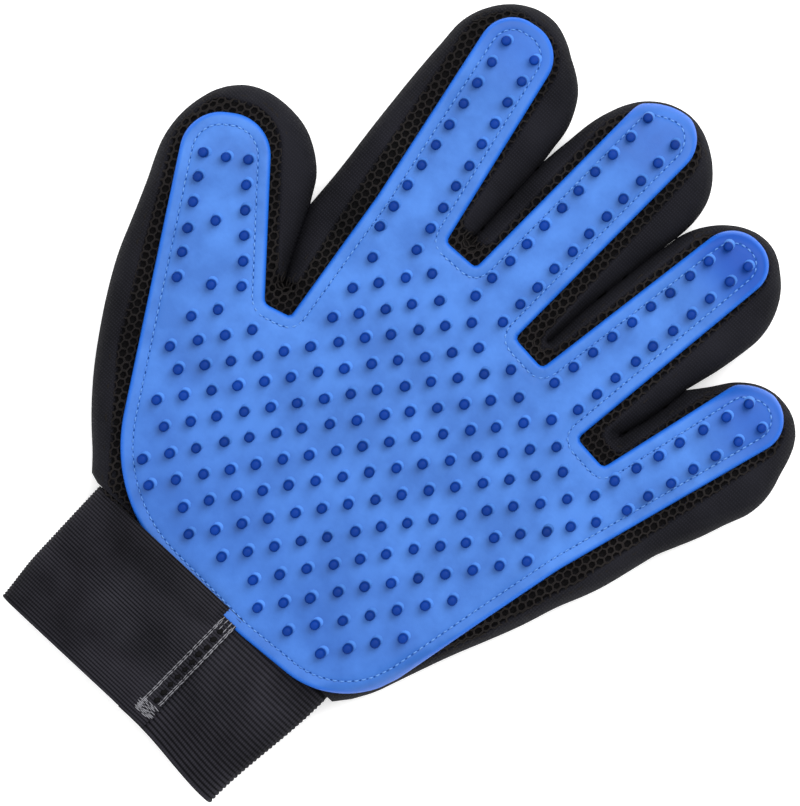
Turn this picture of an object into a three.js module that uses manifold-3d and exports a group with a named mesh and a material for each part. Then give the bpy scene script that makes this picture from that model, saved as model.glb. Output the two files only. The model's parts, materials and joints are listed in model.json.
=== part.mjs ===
// Five-finger grooming glove, left hand, lying on its back with the rubber nubs up.
// Millimetres. +Y points to the fingertips, +X to the little finger, +Z out of the palm.
// Every layer is first made whole and then split at the ten bend lines of the fingers.
import * as THREE from "three";
import { mergeVertices } from "three/addons/utils/BufferGeometryUtils.js";
import Module from "manifold-3d";

// ---------- driving dimensions ----------
const GAP = 0.3; // clearance between pieces that touch
const HAND_TOP = 18; // height of the knit shell's open rim
const WALL = 2; // knit shell thickness
const BOTTOM_ROUND = 6; // how far the knit curls in under the hand
const SEAM_INSET = 7.5; // how far the mesh seam lies inside the widest outline
const MESH_THICK = 1.7; // spacer mesh panel
const PAD_THICK = 1.5; // rubber pad sheet
const NUB_RADIUS = 1.65;
const NUB_TIP_RADIUS = 1.25;
const NUB_HEIGHT = 3.5;
const NUB_SIDES = 6;
const NUB_SINK = 0.3; // how deep a nub's root sits in the sheet
const HINGE_Z = 15; // bend axis, just under the mesh and the pad
const MAX_BEND = 55; // degrees of each finger bend
const BEND_GAP = 0.4; // clearance on each side of a bend line
const ZONE_MARGIN = 0.4; // a finger's territory reaches this far past its widest outline

const WRIST_Y = -72.2; // the hand is sewn to the cuff here
const TAPE_THICK = 2;
const TAPE_Y = [-73.7, -72.5];
const TAPE_INSET = 0.6; // the tape lies just inside the knit
const CUFF_TOP_Y = -74;
const CUFF_LEFT_END_Y = -113.6;
const CUFF_RIGHT_END_Y = -116.4;
const ELASTIC = 1.6; // elastic thickness
const CUFF_Z = 18.5; // top of the flattened cuff
const CUFF_LEFT_X = -42.25;
const CUFF_RIGHT_X = 43.5;
const CUFF_BACK_Z = 4.5; // the right elastic's underside, above the closure
const JOIN_X = 10; // where the two elastics meet on the palm side
const FOLD_X = -10; // where the strap tab leaves the left elastic
const STRAP_END_X = 36;

const PAD_BOTTOM = HAND_TOP + GAP + MESH_THICK + GAP;

// Hand silhouette along the palm: [y, thumb side x, little finger side x]
const PALM = [
  [WRIST_Y, -43.5, 46.5],
  [-64, -52.5, 51.5],
  [-50, -65, 57],
  [-38, -73, 63],
  [-20, -60, 71],
  [8, -43.2, 81],
  [26, -51.8, 86.8],
];

// Fingers: knuckle point, lean from +Y in degrees (positive leans to the little finger side), distance
// from the knuckle to the middle bend, to the start of the round tip, and to the tip's end; then the
// reach of the silhouette to either side of the axis: below the crotch, at the knuckle, at the shoulder.
const FINGERS = {
  thumb: finger([-64.5, -4.6], -35, 24, 25, 48.3, [27, 27], [24, 23], [16.9, 27]),
  index: finger([-34.5, 50.3], -10, 30, 36, 59.4, [21, 25], [19.7, 21], [16.5, 25.6]),
  middle: finger([5, 50], 1.7, 33, 44, 66.1, [21, 20.5], [17.5, 16.4], [18.3, 21.6]),
  ring: finger([38.5, 44], 8, 31, 40, 61.9, [19.5, 20], [16.3, 17.4], [15.7, 19.6]),
  little: finger([71.5, 35], 17, 21, 19, 42, [19, 17.2], [15.6, 18.2], [17.6, 19.6]),
};
const STUB_START = -30; // fingers reach this far down into the palm
const CROTCH_WIDE = -8;
const CROTCH_NARROW = -3.5;
const TIP_STEPS = [0.35, 0.6, 0.8, 0.93, 1];
const TIP_FLAT = 0.2; // the tip ends in a flat this share of the shoulder's width

// Corner lists: [x, y, corner radius]
const PAD_CORNERS = [
  [-38.5, -73.8, 46], [14, -75.9, 50], [51.5, -73.5, 27], [61.5, -28, 60], [67.5, -2, 60],
  [90.1, 72.3, 9.4], [70.3, 77.3, 10], [57.2, 27.6, 1.2],
  [46.4, 28.6, 1.2], [55.9, 102.4, 8.6], [36.9, 104.8, 10.1], [25.7, 36.3, 1.2],
  [14.5, 37.3, 1.2], [16.8, 116.6, 10.6], [-4.9, 116.2, 10.6], [-7, 44.2, 1.2],
  [-18, 43.9, 1.2], [-30.7, 106.9, 10.2], [-52.1, 103.6, 9.8], [-40.8, 40, 60], [-35.6, -1.2, 1.2],
  [-43.4, -3.4, 2], [-77.2, 36, 12], [-96.6, 22.3, 11.6],
];
const MESH_CORNERS = [
  [-40.5, -72.2, 6], [45, -72.2, 16], [60.5, -44, 40], [75, 0, 60],
  [92.6, 71.8, 10.5], [67, 76.3, 11], [57.3, 36.5, 2],
  [51.5, 37.2, 2], [56.8, 102.4, 10], [34.6, 105.6, 11], [24.4, 45, 2],
  [20.4, 45.3, 2], [20, 115.2, 11.5], [-8.8, 115.2, 12.5], [-8.6, 51.5, 2],
  [-18, 51.5, 2], [-28.4, 107.8, 11.5], [-57, 104.4, 12.5], [-46.8, 38, 50], [-40.8, 7, 2],
  [-46.4, 7, 2.5], [-76.3, 39.6, 13.5], [-101.2, 25.5, 14], [-66, -39.5, 40],
];

// Rows of nubs: [first x, first y, last x, last y, count, bow to the left in the middle]
const NUB_ROWS = [
  [-44.1, 95.9, -34.5, 34.1, 10, 0], [-34.5, 97.6, -22.5, 36.5, 10, 0],
  [-0.2, 107.1, -1.6, 38.1, 11, 0], [10.4, 107, 9.1, 38, 11, 0],
  [40.5, 96.5, 31, 35.5, 10, 0], [48.5, 96.1, 41, 34.5, 10, 0],
  [74.8, 67.8, 61.9, 26.8, 7, 0], [81.9, 65.5, 70.1, 23.1, 7, 0],
  [-84.8, 15.6, -66.4, -14.9, 6, 0], [-74.1, 22.6, -51.4, -4.5, 6, 0],
  [-79.1, 18.9, -69.1, 4, 2, 0], [66.2, 14.8, 61.9, 9, 2, 0],
  [-57.8, -9.8, -30, 26.5, 2, 0], [-56, -20.1, -51.6, -13.6, 2, 0],
  [-28.4, 16.4, -14.6, 34.4, 4, 0], [-54.6, -30.2, -41, -11.3, 4, 0],
  [-26.8, 6.6, -8.4, 30.2, 5, 0], [-48.4, -33.6, 2.6, 32.1, 12, 0.4],
  [-46.9, -43.8, 9, 28, 13, 0.5], [-40.5, -47.8, 19.9, 29.7, 14, 0.6],
  [-38.6, -58.4, 26.3, 25.5, 15, 1.1], [-32.1, -62.7, 37.3, 27.1, 16, 1.3],
  [-21.3, -60.6, 43.6, 22.9, 15, 1.2], [-14.9, -65.1, 49.8, 18.7, 15, 1.1],
  [-3.9, -63.3, 60.6, 19.9, 15, 0.8], [7, -62.1, 57.8, 3.8, 12, 0.8],
  [13.1, -67.2, 59.5, -6.4, 11, 0.6], [23.8, -66, 51.8, -28.6, 7, 0.2],
  [34.7, -64.4, 48.8, -45.8, 4, 0.1],
];

const COLOURS = {
  rubber: [0x4d7acf, 0.55],
  mesh: [0x2a2623, 0.9],
  knit: [0x1b1b20, 0.85],
  elastic: [0x1d1d21, 0.9],
  thread: [0xb9bcc2, 0.7],
  hook: [0x151518, 0.8],
  tape: [0x222226, 0.9],
};

function finger(at, lean, bend, shoulder, length, root, base, wide) {
  const a = THREE.MathUtils.degToRad(lean);
  const along = new THREE.Vector2(Math.sin(a), Math.cos(a));
  const across = new THREE.Vector2(Math.cos(a), -Math.sin(a));
  return { at: new THREE.Vector2(...at), along, across, bend, shoulder, length, root, base, wide };
}

// ---------- solids ----------
const wasm = await Module();
wasm.setup();

function toSolid(geometry) {
  const bare = geometry.clone();
  bare.deleteAttribute("normal");
  bare.deleteAttribute("uv");
  const merged = mergeVertices(bare, 1e-4);
  return new wasm.Manifold(
    new wasm.Mesh({
      numProp: 3,
      vertProperties: merged.attributes.position.array,
      triVerts: new Uint32Array(merged.index.array),
    }),
  );
}

function toGeometry(solid) {
  const mesh = solid.getMesh();
  const geometry = new THREE.BufferGeometry();
  geometry.setAttribute("position", new THREE.BufferAttribute(mesh.vertProperties, 3));
  geometry.setIndex(new THREE.BufferAttribute(mesh.triVerts, 1));
  const flat = geometry.toNonIndexed();
  flat.computeVertexNormals();
  return flat;
}

// A closed outline with each corner rounded to its radius.
function roundedOutline(corners, steps = 5) {
  const points = [];
  corners.forEach(([x, y, radius], i) => {
    const here = new THREE.Vector2(x, y);
    const before = corners[(i + corners.length - 1) % corners.length];
    const after = corners[(i + 1) % corners.length];
    const toBefore = new THREE.Vector2(before[0] - x, before[1] - y).normalize();
    const toAfter = new THREE.Vector2(after[0] - x, after[1] - y).normalize();
    const half = Math.acos(THREE.MathUtils.clamp(toBefore.dot(toAfter), -1, 1)) / 2;
    const inward = toBefore.clone().add(toAfter).normalize();
    const centre = here.clone().addScaledVector(inward, radius / Math.sin(half));
    const start = here.clone().addScaledVector(toBefore, radius / Math.tan(half)).sub(centre);
    const end = here.clone().addScaledVector(toAfter, radius / Math.tan(half)).sub(centre);
    const from = Math.atan2(start.y, start.x);
    const turn = Math.atan2(end.y, end.x) - from + Math.PI;
    const sweep = THREE.MathUtils.euclideanModulo(turn, 2 * Math.PI) - Math.PI;
    const count = Math.abs(sweep) > 0.5 ? steps : 2;
    for (let k = 0; k <= count; k++) {
      const t = from + (sweep * k) / count;
      points.push(new THREE.Vector2(centre.x + radius * Math.cos(t), centre.y + radius * Math.sin(t)));
    }
  });
  return points;
}

function plate(points, bottom, top) {
  const geometry = new THREE.ExtrudeGeometry(new THREE.Shape(points), {
    depth: top - bottom,
    bevelEnabled: false,
  });
  return geometry.translate(0, 0, bottom);
}

// An outline in the X-Z plane drawn out along Y.
function strip(points, fromY, toY, hole) {
  const shape = new THREE.Shape(points);
  if (hole) shape.holes.push(new THREE.Path(hole));
  const geometry = new THREE.ExtrudeGeometry(shape, { depth: toY - fromY, bevelEnabled: false });
  return geometry.rotateX(Math.PI / 2).translate(0, toY, 0);
}

// Skins a list of equal rings into one closed body.
function loft(rings) {
  const size = rings[0].length;
  const positions = rings.flat().flatMap((p) => [p.x, p.y, p.z]);
  const index = [];
  for (let j = 0; j + 1 < rings.length; j++) {
    for (let i = 0; i < size; i++) {
      const a = j * size + i;
      const b = j * size + ((i + 1) % size);
      index.push(a, b + size, b, a, a + size, b + size);
    }
  }
  const last = (rings.length - 1) * size;
  for (let i = 1; i + 1 < size; i++) {
    index.push(0, i, i + 1);
    index.push(last, last + i + 1, last + i);
  }
  const geometry = new THREE.BufferGeometry();
  geometry.setAttribute("position", new THREE.Float32BufferAttribute(positions, 3));
  geometry.setIndex(index);
  return geometry;
}

// ---------- knit shell: back and sides of the hand, open at the top ----------
// One cross-section, [across, height] points, counter-clockwise seen from the wrist.
function section(left, right, wall) {
  const arc = 3;
  const mid = HAND_TOP / 2;
  const l = left + wall;
  const r = right - wall;
  const curl = Math.min(BOTTOM_ROUND, (r - l) / 4);
  const seam = Math.min(SEAM_INSET, (r - l) / 4);
  const points = [];
  for (let k = 0; k <= arc; k++) {
    const t = (k / arc) * (Math.PI / 2);
    points.push([r - curl + curl * Math.sin(t), mid - (mid - wall) * Math.cos(t)]);
  }
  for (let k = 1; k <= arc; k++) {
    const t = (k / arc) * (Math.PI / 2);
    points.push([r - seam + seam * Math.cos(t), mid + mid * Math.sin(t)]);
  }
  if (wall > 0) {
    points.push([r - seam, HAND_TOP + 1]);
    points.push([l + seam, HAND_TOP + 1]);
  }
  for (let k = arc; k >= 1; k--) {
    const t = (k / arc) * (Math.PI / 2);
    points.push([l + seam - seam * Math.cos(t), mid + mid * Math.sin(t)]);
  }
  for (let k = arc; k >= 0; k--) {
    const t = (k / arc) * (Math.PI / 2);
    points.push([l + curl - curl * Math.sin(t), mid - (mid - wall) * Math.cos(t)]);
  }
  return points;
}

function place(f, u, v, z) {
  return new THREE.Vector3(
    f.at.x + u * f.along.x + v * f.across.x,
    f.at.y + u * f.along.y + v * f.across.y,
    z,
  );
}

// Silhouette of a finger: [distance from the knuckle, left reach, right reach]
function fingerOutline(f) {
  const stations = [
    [STUB_START, ...f.root],
    [CROTCH_WIDE, ...f.root],
    [CROTCH_NARROW, ...f.base],
    [f.shoulder, ...f.wide],
  ];
  const centre = (f.wide[1] - f.wide[0]) / 2;
  const half = (f.wide[1] + f.wide[0]) / 2;
  for (const t of TIP_STEPS) {
    const width = half * Math.max(Math.sqrt(1 - t * t), TIP_FLAT);
    stations.push([f.shoulder + t * (f.length - f.shoulder), width - centre, width + centre]);
  }
  return stations;
}

function fingerBody(f, wall) {
  const outline = fingerOutline(f);
  const last = outline.length - 1;
  const endWall = 2 * wall;
  const rings = outline.map(([u, left, right], i) =>
    section(-left, right, wall).map(([v, z]) => place(f, i === last ? u - endWall : u, v, z)),
  );
  return toSolid(loft(wall > 0 ? rings.filter((_, i) => i !== last - 1) : rings));
}

function palmBody(wall) {
  const rings = PALM.map(([y, left, right], i) => {
    const from = i === 0 ? y - wall : y;
    return section(left, right, wall).map(([x, z]) => new THREE.Vector3(x, from, z));
  });
  return toSolid(loft(rings));
}

function handBody(wall) {
  return Object.values(FINGERS).reduce((sum, f) => sum.add(fingerBody(f, wall)), palmBody(wall));
}

// ---------- mesh panel and rubber pad ----------
function meshPanel() {
  return toSolid(plate(roundedOutline(MESH_CORNERS), HAND_TOP + GAP, HAND_TOP + GAP + MESH_THICK));
}

function nubRow([x0, y0, x1, y1, count, bow]) {
  const run = new THREE.Vector2(x1 - x0, y1 - y0);
  const left = new THREE.Vector2(-run.y, run.x).normalize();
  return Array.from({ length: count }, (_, i) => {
    const t = i / (count - 1);
    const off = 4 * t * (1 - t) * bow;
    return [x0 + t * run.x + off * left.x, y0 + t * run.y + off * left.y];
  });
}

function nub(x, y) {
  const geometry = new THREE.CylinderGeometry(NUB_TIP_RADIUS, NUB_RADIUS, NUB_HEIGHT + NUB_SINK, NUB_SIDES);
  geometry.rotateX(Math.PI / 2);
  return toSolid(geometry.translate(x, y, PAD_BOTTOM + PAD_THICK + (NUB_HEIGHT - NUB_SINK) / 2));
}

function rubberPad() {
  const sheet = toSolid(plate(roundedOutline(PAD_CORNERS), PAD_BOTTOM, PAD_BOTTOM + PAD_THICK));
  return NUB_ROWS.flatMap(nubRow).reduce((sum, [x, y]) => sum.add(nub(x, y)), sheet);
}

// ---------- splitting at the bend lines ----------
// The space of one finger from one distance past the knuckle to another. Above the bend axis its ends lean
// back from the bend lines, so that the two sides of a bend close like a book at the full bend.
function zone(f, start, startLean, end, endLean) {
  const low = -5;
  const high = 30;
  const slope = Math.tan(THREE.MathUtils.degToRad(MAX_BEND / 2)) * (high - HINGE_Z);
  const side = [
    [start, low],
    [end, low],
    [end, HINGE_Z],
    [end + endLean * slope, high],
    [start + startLean * slope, high],
    [start, HINGE_Z],
  ];
  const reach = Math.max(...f.root, ...f.wide) + 2;
  const shape = new THREE.Shape(side.map(([u, z]) => new THREE.Vector2(u, z)));
  const wedge = new THREE.ExtrudeGeometry(shape, { depth: 2 * reach, bevelEnabled: false });
  const basis = new THREE.Matrix4().makeBasis(
    new THREE.Vector3(f.along.x, f.along.y, 0),
    new THREE.Vector3(0, 0, 1),
    new THREE.Vector3(f.across.x, f.across.y, 0),
  );
  wedge.translate(0, 0, -reach).applyMatrix4(basis).translate(f.at.x, f.at.y, 0);
  const past = f.length + 3;
  const territory = [
    [CROTCH_WIDE, f.root],
    [CROTCH_NARROW, f.base],
    [f.shoulder, f.wide],
    [past, f.wide],
  ];
  const rightSide = territory.map(([u, reachTo]) => place(f, u, reachTo[1] + ZONE_MARGIN, 0));
  const leftSide = territory.map(([u, reachTo]) => place(f, u, -reachTo[0] - ZONE_MARGIN, 0));
  const points = [...rightSide, ...leftSide.reverse()].map((p) => new THREE.Vector2(p.x, p.y));
  return toSolid(plate(points, low, high)).intersect(toSolid(wedge));
}

// Cuts a whole layer into its palm part and a root and a tip for each finger.
function split(layer) {
  const pieces = {};
  let palm = layer;
  for (const [name, f] of Object.entries(FINGERS)) {
    const past = f.length + 5;
    pieces[name + "_root"] = layer.intersect(zone(f, BEND_GAP, 1, f.bend - BEND_GAP, -1));
    pieces[name + "_tip"] = layer.intersect(zone(f, f.bend + BEND_GAP, 1, past, 0));
    palm = palm.subtract(zone(f, -BEND_GAP, -1, past, 0));
  }
  return { palm, ...pieces };
}

// ---------- cuff ----------
function sideArc(x, z, radius, fromDeg, toDeg, steps = 6) {
  return Array.from({ length: steps + 1 }, (_, k) => {
    const t = THREE.MathUtils.degToRad(fromDeg + ((toDeg - fromDeg) * k) / steps);
    return new THREE.Vector2(x + radius * Math.cos(t), z + radius * Math.sin(t));
  });
}

function box(x0, x1, y0, y1, z0, z1) {
  return new THREE.BoxGeometry(x1 - x0, y1 - y0, z1 - z0).translate((x0 + x1) / 2, (y0 + y1) / 2, (z0 + z1) / 2);
}

function leftElastic() {
  const radius = CUFF_Z / 2;
  const x = CUFF_LEFT_X + radius;
  const points = [
    new THREE.Vector2(JOIN_X - GAP / 2, CUFF_Z),
    ...sideArc(x, radius, radius, 90, 270),
    new THREE.Vector2(FOLD_X - BEND_GAP, 0),
    new THREE.Vector2(FOLD_X - BEND_GAP, ELASTIC),
    ...sideArc(x, radius, radius - ELASTIC, 270, 90),
    new THREE.Vector2(JOIN_X - GAP / 2, CUFF_Z - ELASTIC),
  ];
  return strip(points, CUFF_LEFT_END_Y, CUFF_TOP_Y);
}

function rightElastic() {
  const radius = (CUFF_Z - CUFF_BACK_Z) / 2;
  const x = CUFF_RIGHT_X - radius;
  const z = CUFF_BACK_Z + radius;
  const inner = FOLD_X + 6;
  const points = [
    new THREE.Vector2(JOIN_X + GAP / 2, CUFF_Z - ELASTIC),
    ...sideArc(x, z, radius - ELASTIC, 90, -90),
    new THREE.Vector2(inner, CUFF_BACK_Z + ELASTIC),
    new THREE.Vector2(inner, CUFF_BACK_Z),
    ...sideArc(x, z, radius, -90, 90),
    new THREE.Vector2(JOIN_X + GAP / 2, CUFF_Z),
  ];
  return strip(points, CUFF_RIGHT_END_Y, CUFF_TOP_Y);
}

function seamTape() {
  const radius = HAND_TOP / 2;
  const ring = (inset) => [
    ...sideArc(PALM[0][1] + radius, radius, radius - inset, 90, 270),
    ...sideArc(PALM[0][2] - radius, radius, radius - inset, -90, 90),
  ];
  return strip(ring(TAPE_INSET), ...TAPE_Y, ring(TAPE_INSET + TAPE_THICK));
}

function joinSeam() {
  return box(JOIN_X - 2.7, JOIN_X + 2.7, -111, CUFF_TOP_Y - 2, CUFF_Z + GAP, CUFF_Z + GAP + 0.7);
}

function strapTab() {
  const outline = [
    [FOLD_X + BEND_GAP, CUFF_LEFT_END_Y + 0.6, 0.1],
    [STRAP_END_X, CUFF_LEFT_END_Y + 0.6, 8],
    [STRAP_END_X, CUFF_TOP_Y - 1, 8],
    [FOLD_X + BEND_GAP, CUFF_TOP_Y - 1, 0.1],
  ];
  return plate(roundedOutline(outline), 0, ELASTIC);
}

function patch(x0, x1, bottom) {
  return box(x0, x1, CUFF_LEFT_END_Y + 4, CUFF_TOP_Y - 4.5, bottom, bottom + 1);
}

// ---------- assembly ----------
const glove = new THREE.Group();

function add(name, geometry, colour) {
  const [color, roughness] = COLOURS[colour];
  const material = new THREE.MeshStandardMaterial({ color, roughness, metalness: 0 });
  const mesh = new THREE.Mesh(geometry, material);
  mesh.name = name;
  glove.add(mesh);
}

function addLayer(layer, nodeName, colour) {
  for (const [where, solid] of Object.entries(split(layer))) {
    add(nodeName(where), toGeometry(solid), colour);
  }
}

addLayer(handBody(0).subtract(handBody(WALL)), (where) => where + "_knit_shell", "knit");
addLayer(meshPanel(), (where) => where + "_mesh_panel", "mesh");
addLayer(rubberPad(), (where) => where + "_rubber_pad", "rubber");
add("wrist_seam_tape", seamTape(), "tape");
add("cuff_elastic_left", leftElastic(), "elastic");
add("cuff_elastic_right", rightElastic(), "elastic");
add("cuff_join_seam", joinSeam(), "thread");
add("loop_patch", patch(-2, 35, CUFF_BACK_Z - GAP - 1), "hook");
add("hook_patch", patch(4, 33, ELASTIC + GAP), "hook");
add("strap_tab", strapTab(), "elastic");

export default glove;
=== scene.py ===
# %% [markdown]
# # A grooming glove, palm up
#
# This lesson dresses a five-finger grooming glove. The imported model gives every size: where the knuckles
# bend, how thick the pad is and where the cuff ends. Here the plain solids get their rubber, mesh, knit and
# elastic. We work in millimetres, because that is how a glove maker thinks, and turn them into metres on
# the way out.

# %% Load the frame
import math

import bmesh
import bpy
import numpy as np
from mathutils import Matrix, Vector
from mathutils.geometry import delaunay_2d_cdt
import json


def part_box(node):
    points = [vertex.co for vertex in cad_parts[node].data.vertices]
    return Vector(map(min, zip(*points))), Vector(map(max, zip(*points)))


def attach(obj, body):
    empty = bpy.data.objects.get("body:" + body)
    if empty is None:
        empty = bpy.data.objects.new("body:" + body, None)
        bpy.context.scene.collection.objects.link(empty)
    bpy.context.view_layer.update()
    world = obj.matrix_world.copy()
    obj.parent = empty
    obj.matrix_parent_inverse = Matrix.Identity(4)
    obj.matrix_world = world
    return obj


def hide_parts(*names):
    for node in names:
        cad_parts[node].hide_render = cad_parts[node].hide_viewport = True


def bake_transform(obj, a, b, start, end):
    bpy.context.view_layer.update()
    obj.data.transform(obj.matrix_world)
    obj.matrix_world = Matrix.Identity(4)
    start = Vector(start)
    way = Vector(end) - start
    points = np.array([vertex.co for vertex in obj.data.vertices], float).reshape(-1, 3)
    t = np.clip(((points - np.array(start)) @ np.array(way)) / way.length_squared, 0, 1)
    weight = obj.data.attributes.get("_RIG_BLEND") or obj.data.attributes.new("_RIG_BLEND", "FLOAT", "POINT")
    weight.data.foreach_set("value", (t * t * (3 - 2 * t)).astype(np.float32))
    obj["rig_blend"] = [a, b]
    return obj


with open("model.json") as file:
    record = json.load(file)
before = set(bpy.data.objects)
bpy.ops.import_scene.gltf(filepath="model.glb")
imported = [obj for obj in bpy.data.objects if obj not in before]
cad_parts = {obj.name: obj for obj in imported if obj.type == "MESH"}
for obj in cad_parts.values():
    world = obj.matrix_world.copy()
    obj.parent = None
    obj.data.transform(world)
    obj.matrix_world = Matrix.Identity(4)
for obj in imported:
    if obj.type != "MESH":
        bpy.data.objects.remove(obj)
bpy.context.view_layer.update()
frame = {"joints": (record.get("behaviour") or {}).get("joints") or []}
MM = 0.001


def box_mm(node):
    low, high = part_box(node)
    return np.array(low) / MM, np.array(high) / MM


PAD_LOW = box_mm("palm_rubber_pad")[0]
MESH_HIGH = box_mm("palm_mesh_panel")[1]
SHELL_LOW, SHELL_HIGH = box_mm("palm_knit_shell")
CUFF_LEFT = box_mm("cuff_elastic_left")
CUFF_RIGHT = box_mm("cuff_elastic_right")

# %% [markdown]
# ## The fingers' bend lines
#
# Each finger has a hinge at the knuckle and one at the middle joint. The frame knows both, so we read each
# finger's direction and joint distances from it instead of writing them down twice. Cloth needs some length
# to turn over a joint, so every bend gets a stretch that starts just past the crotch between two fingers.

# %% Read the joints
JOINTS = {joint["name"]: joint for joint in frame["joints"]}
FINGER_NAMES = ["thumb", "index", "middle", "ring", "little"]
KNUCKLE_START = -1.5
MIDDLE_HALF = 0.24


def read_finger(name):
    knuckle = JOINTS[name + "_knuckle_bend"]
    middle = JOINTS[name + "_middle_bend"]
    at = np.array(knuckle["pos_m"][:2]) / MM
    across = np.array(knuckle["axis"][:2])
    along = np.array([-across[1], across[0]])
    bend = float((np.array(middle["pos_m"][:2]) / MM - at) @ along)
    middle_start = max(bend * (1 - MIDDLE_HALF), bend - 8)
    return {
        "name": name,
        "at": at,
        "along": along,
        "across": across,
        "bend": bend,
        "knuckle": (KNUCKLE_START, middle_start - 1),
        "middle": (middle_start, 2 * bend - middle_start),
    }


FINGERS = {name: read_finger(name) for name in FINGER_NAMES}
for finger in FINGERS.values():
    print(finger["name"], "middle joint at", round(finger["bend"], 1), "mm")

# %% [markdown]
# ## Outlines
#
# Three outlines shape the hand. The rubber pad is cut with round corners, so a corner list with radii draws
# it exactly; the seam between mesh and knit is drawn the same way. The outer silhouette is soft, so it is a
# smooth curve through a few points. Neighbouring fingers touch along a line and only part near their tips.

# %% Rounded corners and smooth curves
PAD_CORNERS = [
    (-38.5, -73.8, 46), (14, -75.9, 50), (51.5, -73.5, 27), (61.5, -28, 60), (67.5, -2, 60),
    (90.1, 72.3, 9.4), (70.3, 77.3, 10), (57.2, 27.6, 1.2),
    (46.4, 28.6, 1.2), (55.9, 102.4, 8.6), (36.9, 104.8, 10.1), (25.7, 36.3, 1.2),
    (14.5, 37.3, 1.2), (16.8, 116.6, 10.6), (-4.9, 116.2, 10.6), (-7, 44.2, 1.2),
    (-18, 43.9, 1.2), (-30.7, 106.9, 10.2), (-52.1, 103.6, 9.8), (-40.8, 40, 60), (-35.6, -1.2, 1.2),
    (-43.4, -3.4, 2), (-77.2, 36, 12), (-96.6, 22.3, 11.6),
]
SEAM_CORNERS = [
    (-40.5, -71.6, 6), (45, -71.6, 12), (60, -44, 40), (74.6, 0, 60),
    (92.4, 71.6, 10.5), (67, 76.6, 11), (57.8, 33, 2.5),
    (50.4, 34, 2.5), (57, 102.6, 10), (34.6, 105.8, 11), (24.3, 41.5, 2),
    (20.2, 42, 2), (19.9, 115.6, 11.5), (-8.7, 115.6, 12.5), (-8.7, 50.5, 2),
    (-18.1, 50.5, 2), (-28.2, 107.9, 11.5), (-57.2, 104.6, 12.5), (-46.8, 38, 50), (-40.7, 5.8, 2),
    (-46.5, 5.8, 2.5), (-76.4, 40, 13.5), (-101.4, 25.8, 14), (-66.5, -39.5, 40),
]
SIDE_THUMB = [
    (-46.6, -71.2), (-50.7, -66.5), (-56.7, -60.6), (-65.4, -50.4), (-72.4, -40.3), (-78.5, -30.3),
    (-83.6, -20.3), (-86.7, -12.2), (-91, -1.2), (-95.1, 8.8), (-96.7, 18), (-95.8, 26), (-94, 31.4),
    (-90, 36.8), (-85, 39.8), (-80, 41), (-74, 41.1), (-69, 40.3), (-65, 38.5), (-60, 35), (-56, 30.5),
    (-53.2, 25.8),
]
SIDE_INDEX = [
    (-53.2, 25.8), (-53.8, 38), (-55.4, 55), (-56.8, 75), (-57.1, 87), (-56.5, 94), (-54, 100), (-50, 105),
    (-45, 108.3), (-38, 109.7), (-33, 108.3), (-27, 105), (-20, 100), (-17, 95), (-15, 90), (-14, 84),
    (-13.4, 79.3),
]
SIDE_MIDDLE = [
    (-13.4, 79.3), (-12.8, 85), (-12, 90), (-11.3, 95), (-9.6, 100.5), (-7.2, 106), (-4.4, 110.2), (0, 113.8),
    (5, 115.9), (8.5, 116.3), (13, 115.6), (20, 111.8), (25, 106.8), (27.5, 102.3), (28.5, 97), (28.3, 88),
    (26.75, 80),
]
SIDE_RING = [
    (26.75, 80), (28.5, 87.6), (31, 94), (35, 99.4), (40, 103.3), (45, 105.1), (49, 105.2), (52, 104.3),
    (55, 102.2), (60.2, 97.2), (63.3, 91), (64.4, 85), (63.9, 78), (62.5, 70), (61.1, 65), (59.5, 59.5),
]
SIDE_LITTLE = [
    (59.5, 59.5), (61.9, 62.3), (65.2, 66.5), (68.2, 70), (72, 73.2), (76, 75), (80, 75.5), (85, 74.7),
    (89.6, 71.9), (92, 68.6), (94, 63), (95.6, 57), (96.4, 51), (95.4, 45), (93.2, 39), (90.2, 31),
    (87.2, 25), (84.7, 20), (82.2, 10), (79, 0), (74.5, -10), (71, -20), (66.7, -30), (62.2, -40),
    (58.2, -50), (55.5, -57), (53, -63), (50, -68),
]
# Where two fingers touch, from the crotch down to the end of the slit
TOUCH_LINES = [
    [(-53.2, 25.8), (-46.3, 10.2), (-43.4, 4.6)],
    [(-13.4, 79.3), (-13.1, 55), (-13.1, 49)],
    [(26.75, 80), (25.55, 72), (24.5, 65), (23.1, 55), (22.1, 43)],
    [(59.5, 59.5), (58.5, 52), (57, 45), (54.7, 37.5)],
]
WRIST_Y = SHELL_LOW[1]
WRIST_LEFT = (-43.5, WRIST_Y)
WRIST_RIGHT = (46.5, WRIST_Y)


def rounded_outline(corners, step):
    """A closed outline whose corners are arcs, with a point about every step."""
    points = []
    corners = np.array(corners, float)
    for i, (x, y, radius) in enumerate(corners):
        here = np.array([x, y])
        before = corners[i - 1][:2] - here
        after = corners[(i + 1) % len(corners)][:2] - here
        before, after = before / np.linalg.norm(before), after / np.linalg.norm(after)
        half = math.acos(np.clip(before @ after, -1, 1)) / 2
        middle = before + after
        centre = here + middle / np.linalg.norm(middle) * radius / math.sin(half)
        start = here + before * radius / math.tan(half) - centre
        end = here + after * radius / math.tan(half) - centre
        first = math.atan2(start[1], start[0])
        sweep = (math.atan2(end[1], end[0]) - first + math.pi) % (2 * math.pi) - math.pi
        count = max(2, int(abs(sweep) * radius / step), int(abs(sweep) / 0.3))
        for k in range(count + 1):
            angle = first + sweep * k / count
            points.append(centre + radius * np.array([math.cos(angle), math.sin(angle)]))
    return evenly(np.array(points), step, closed=True)


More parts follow.
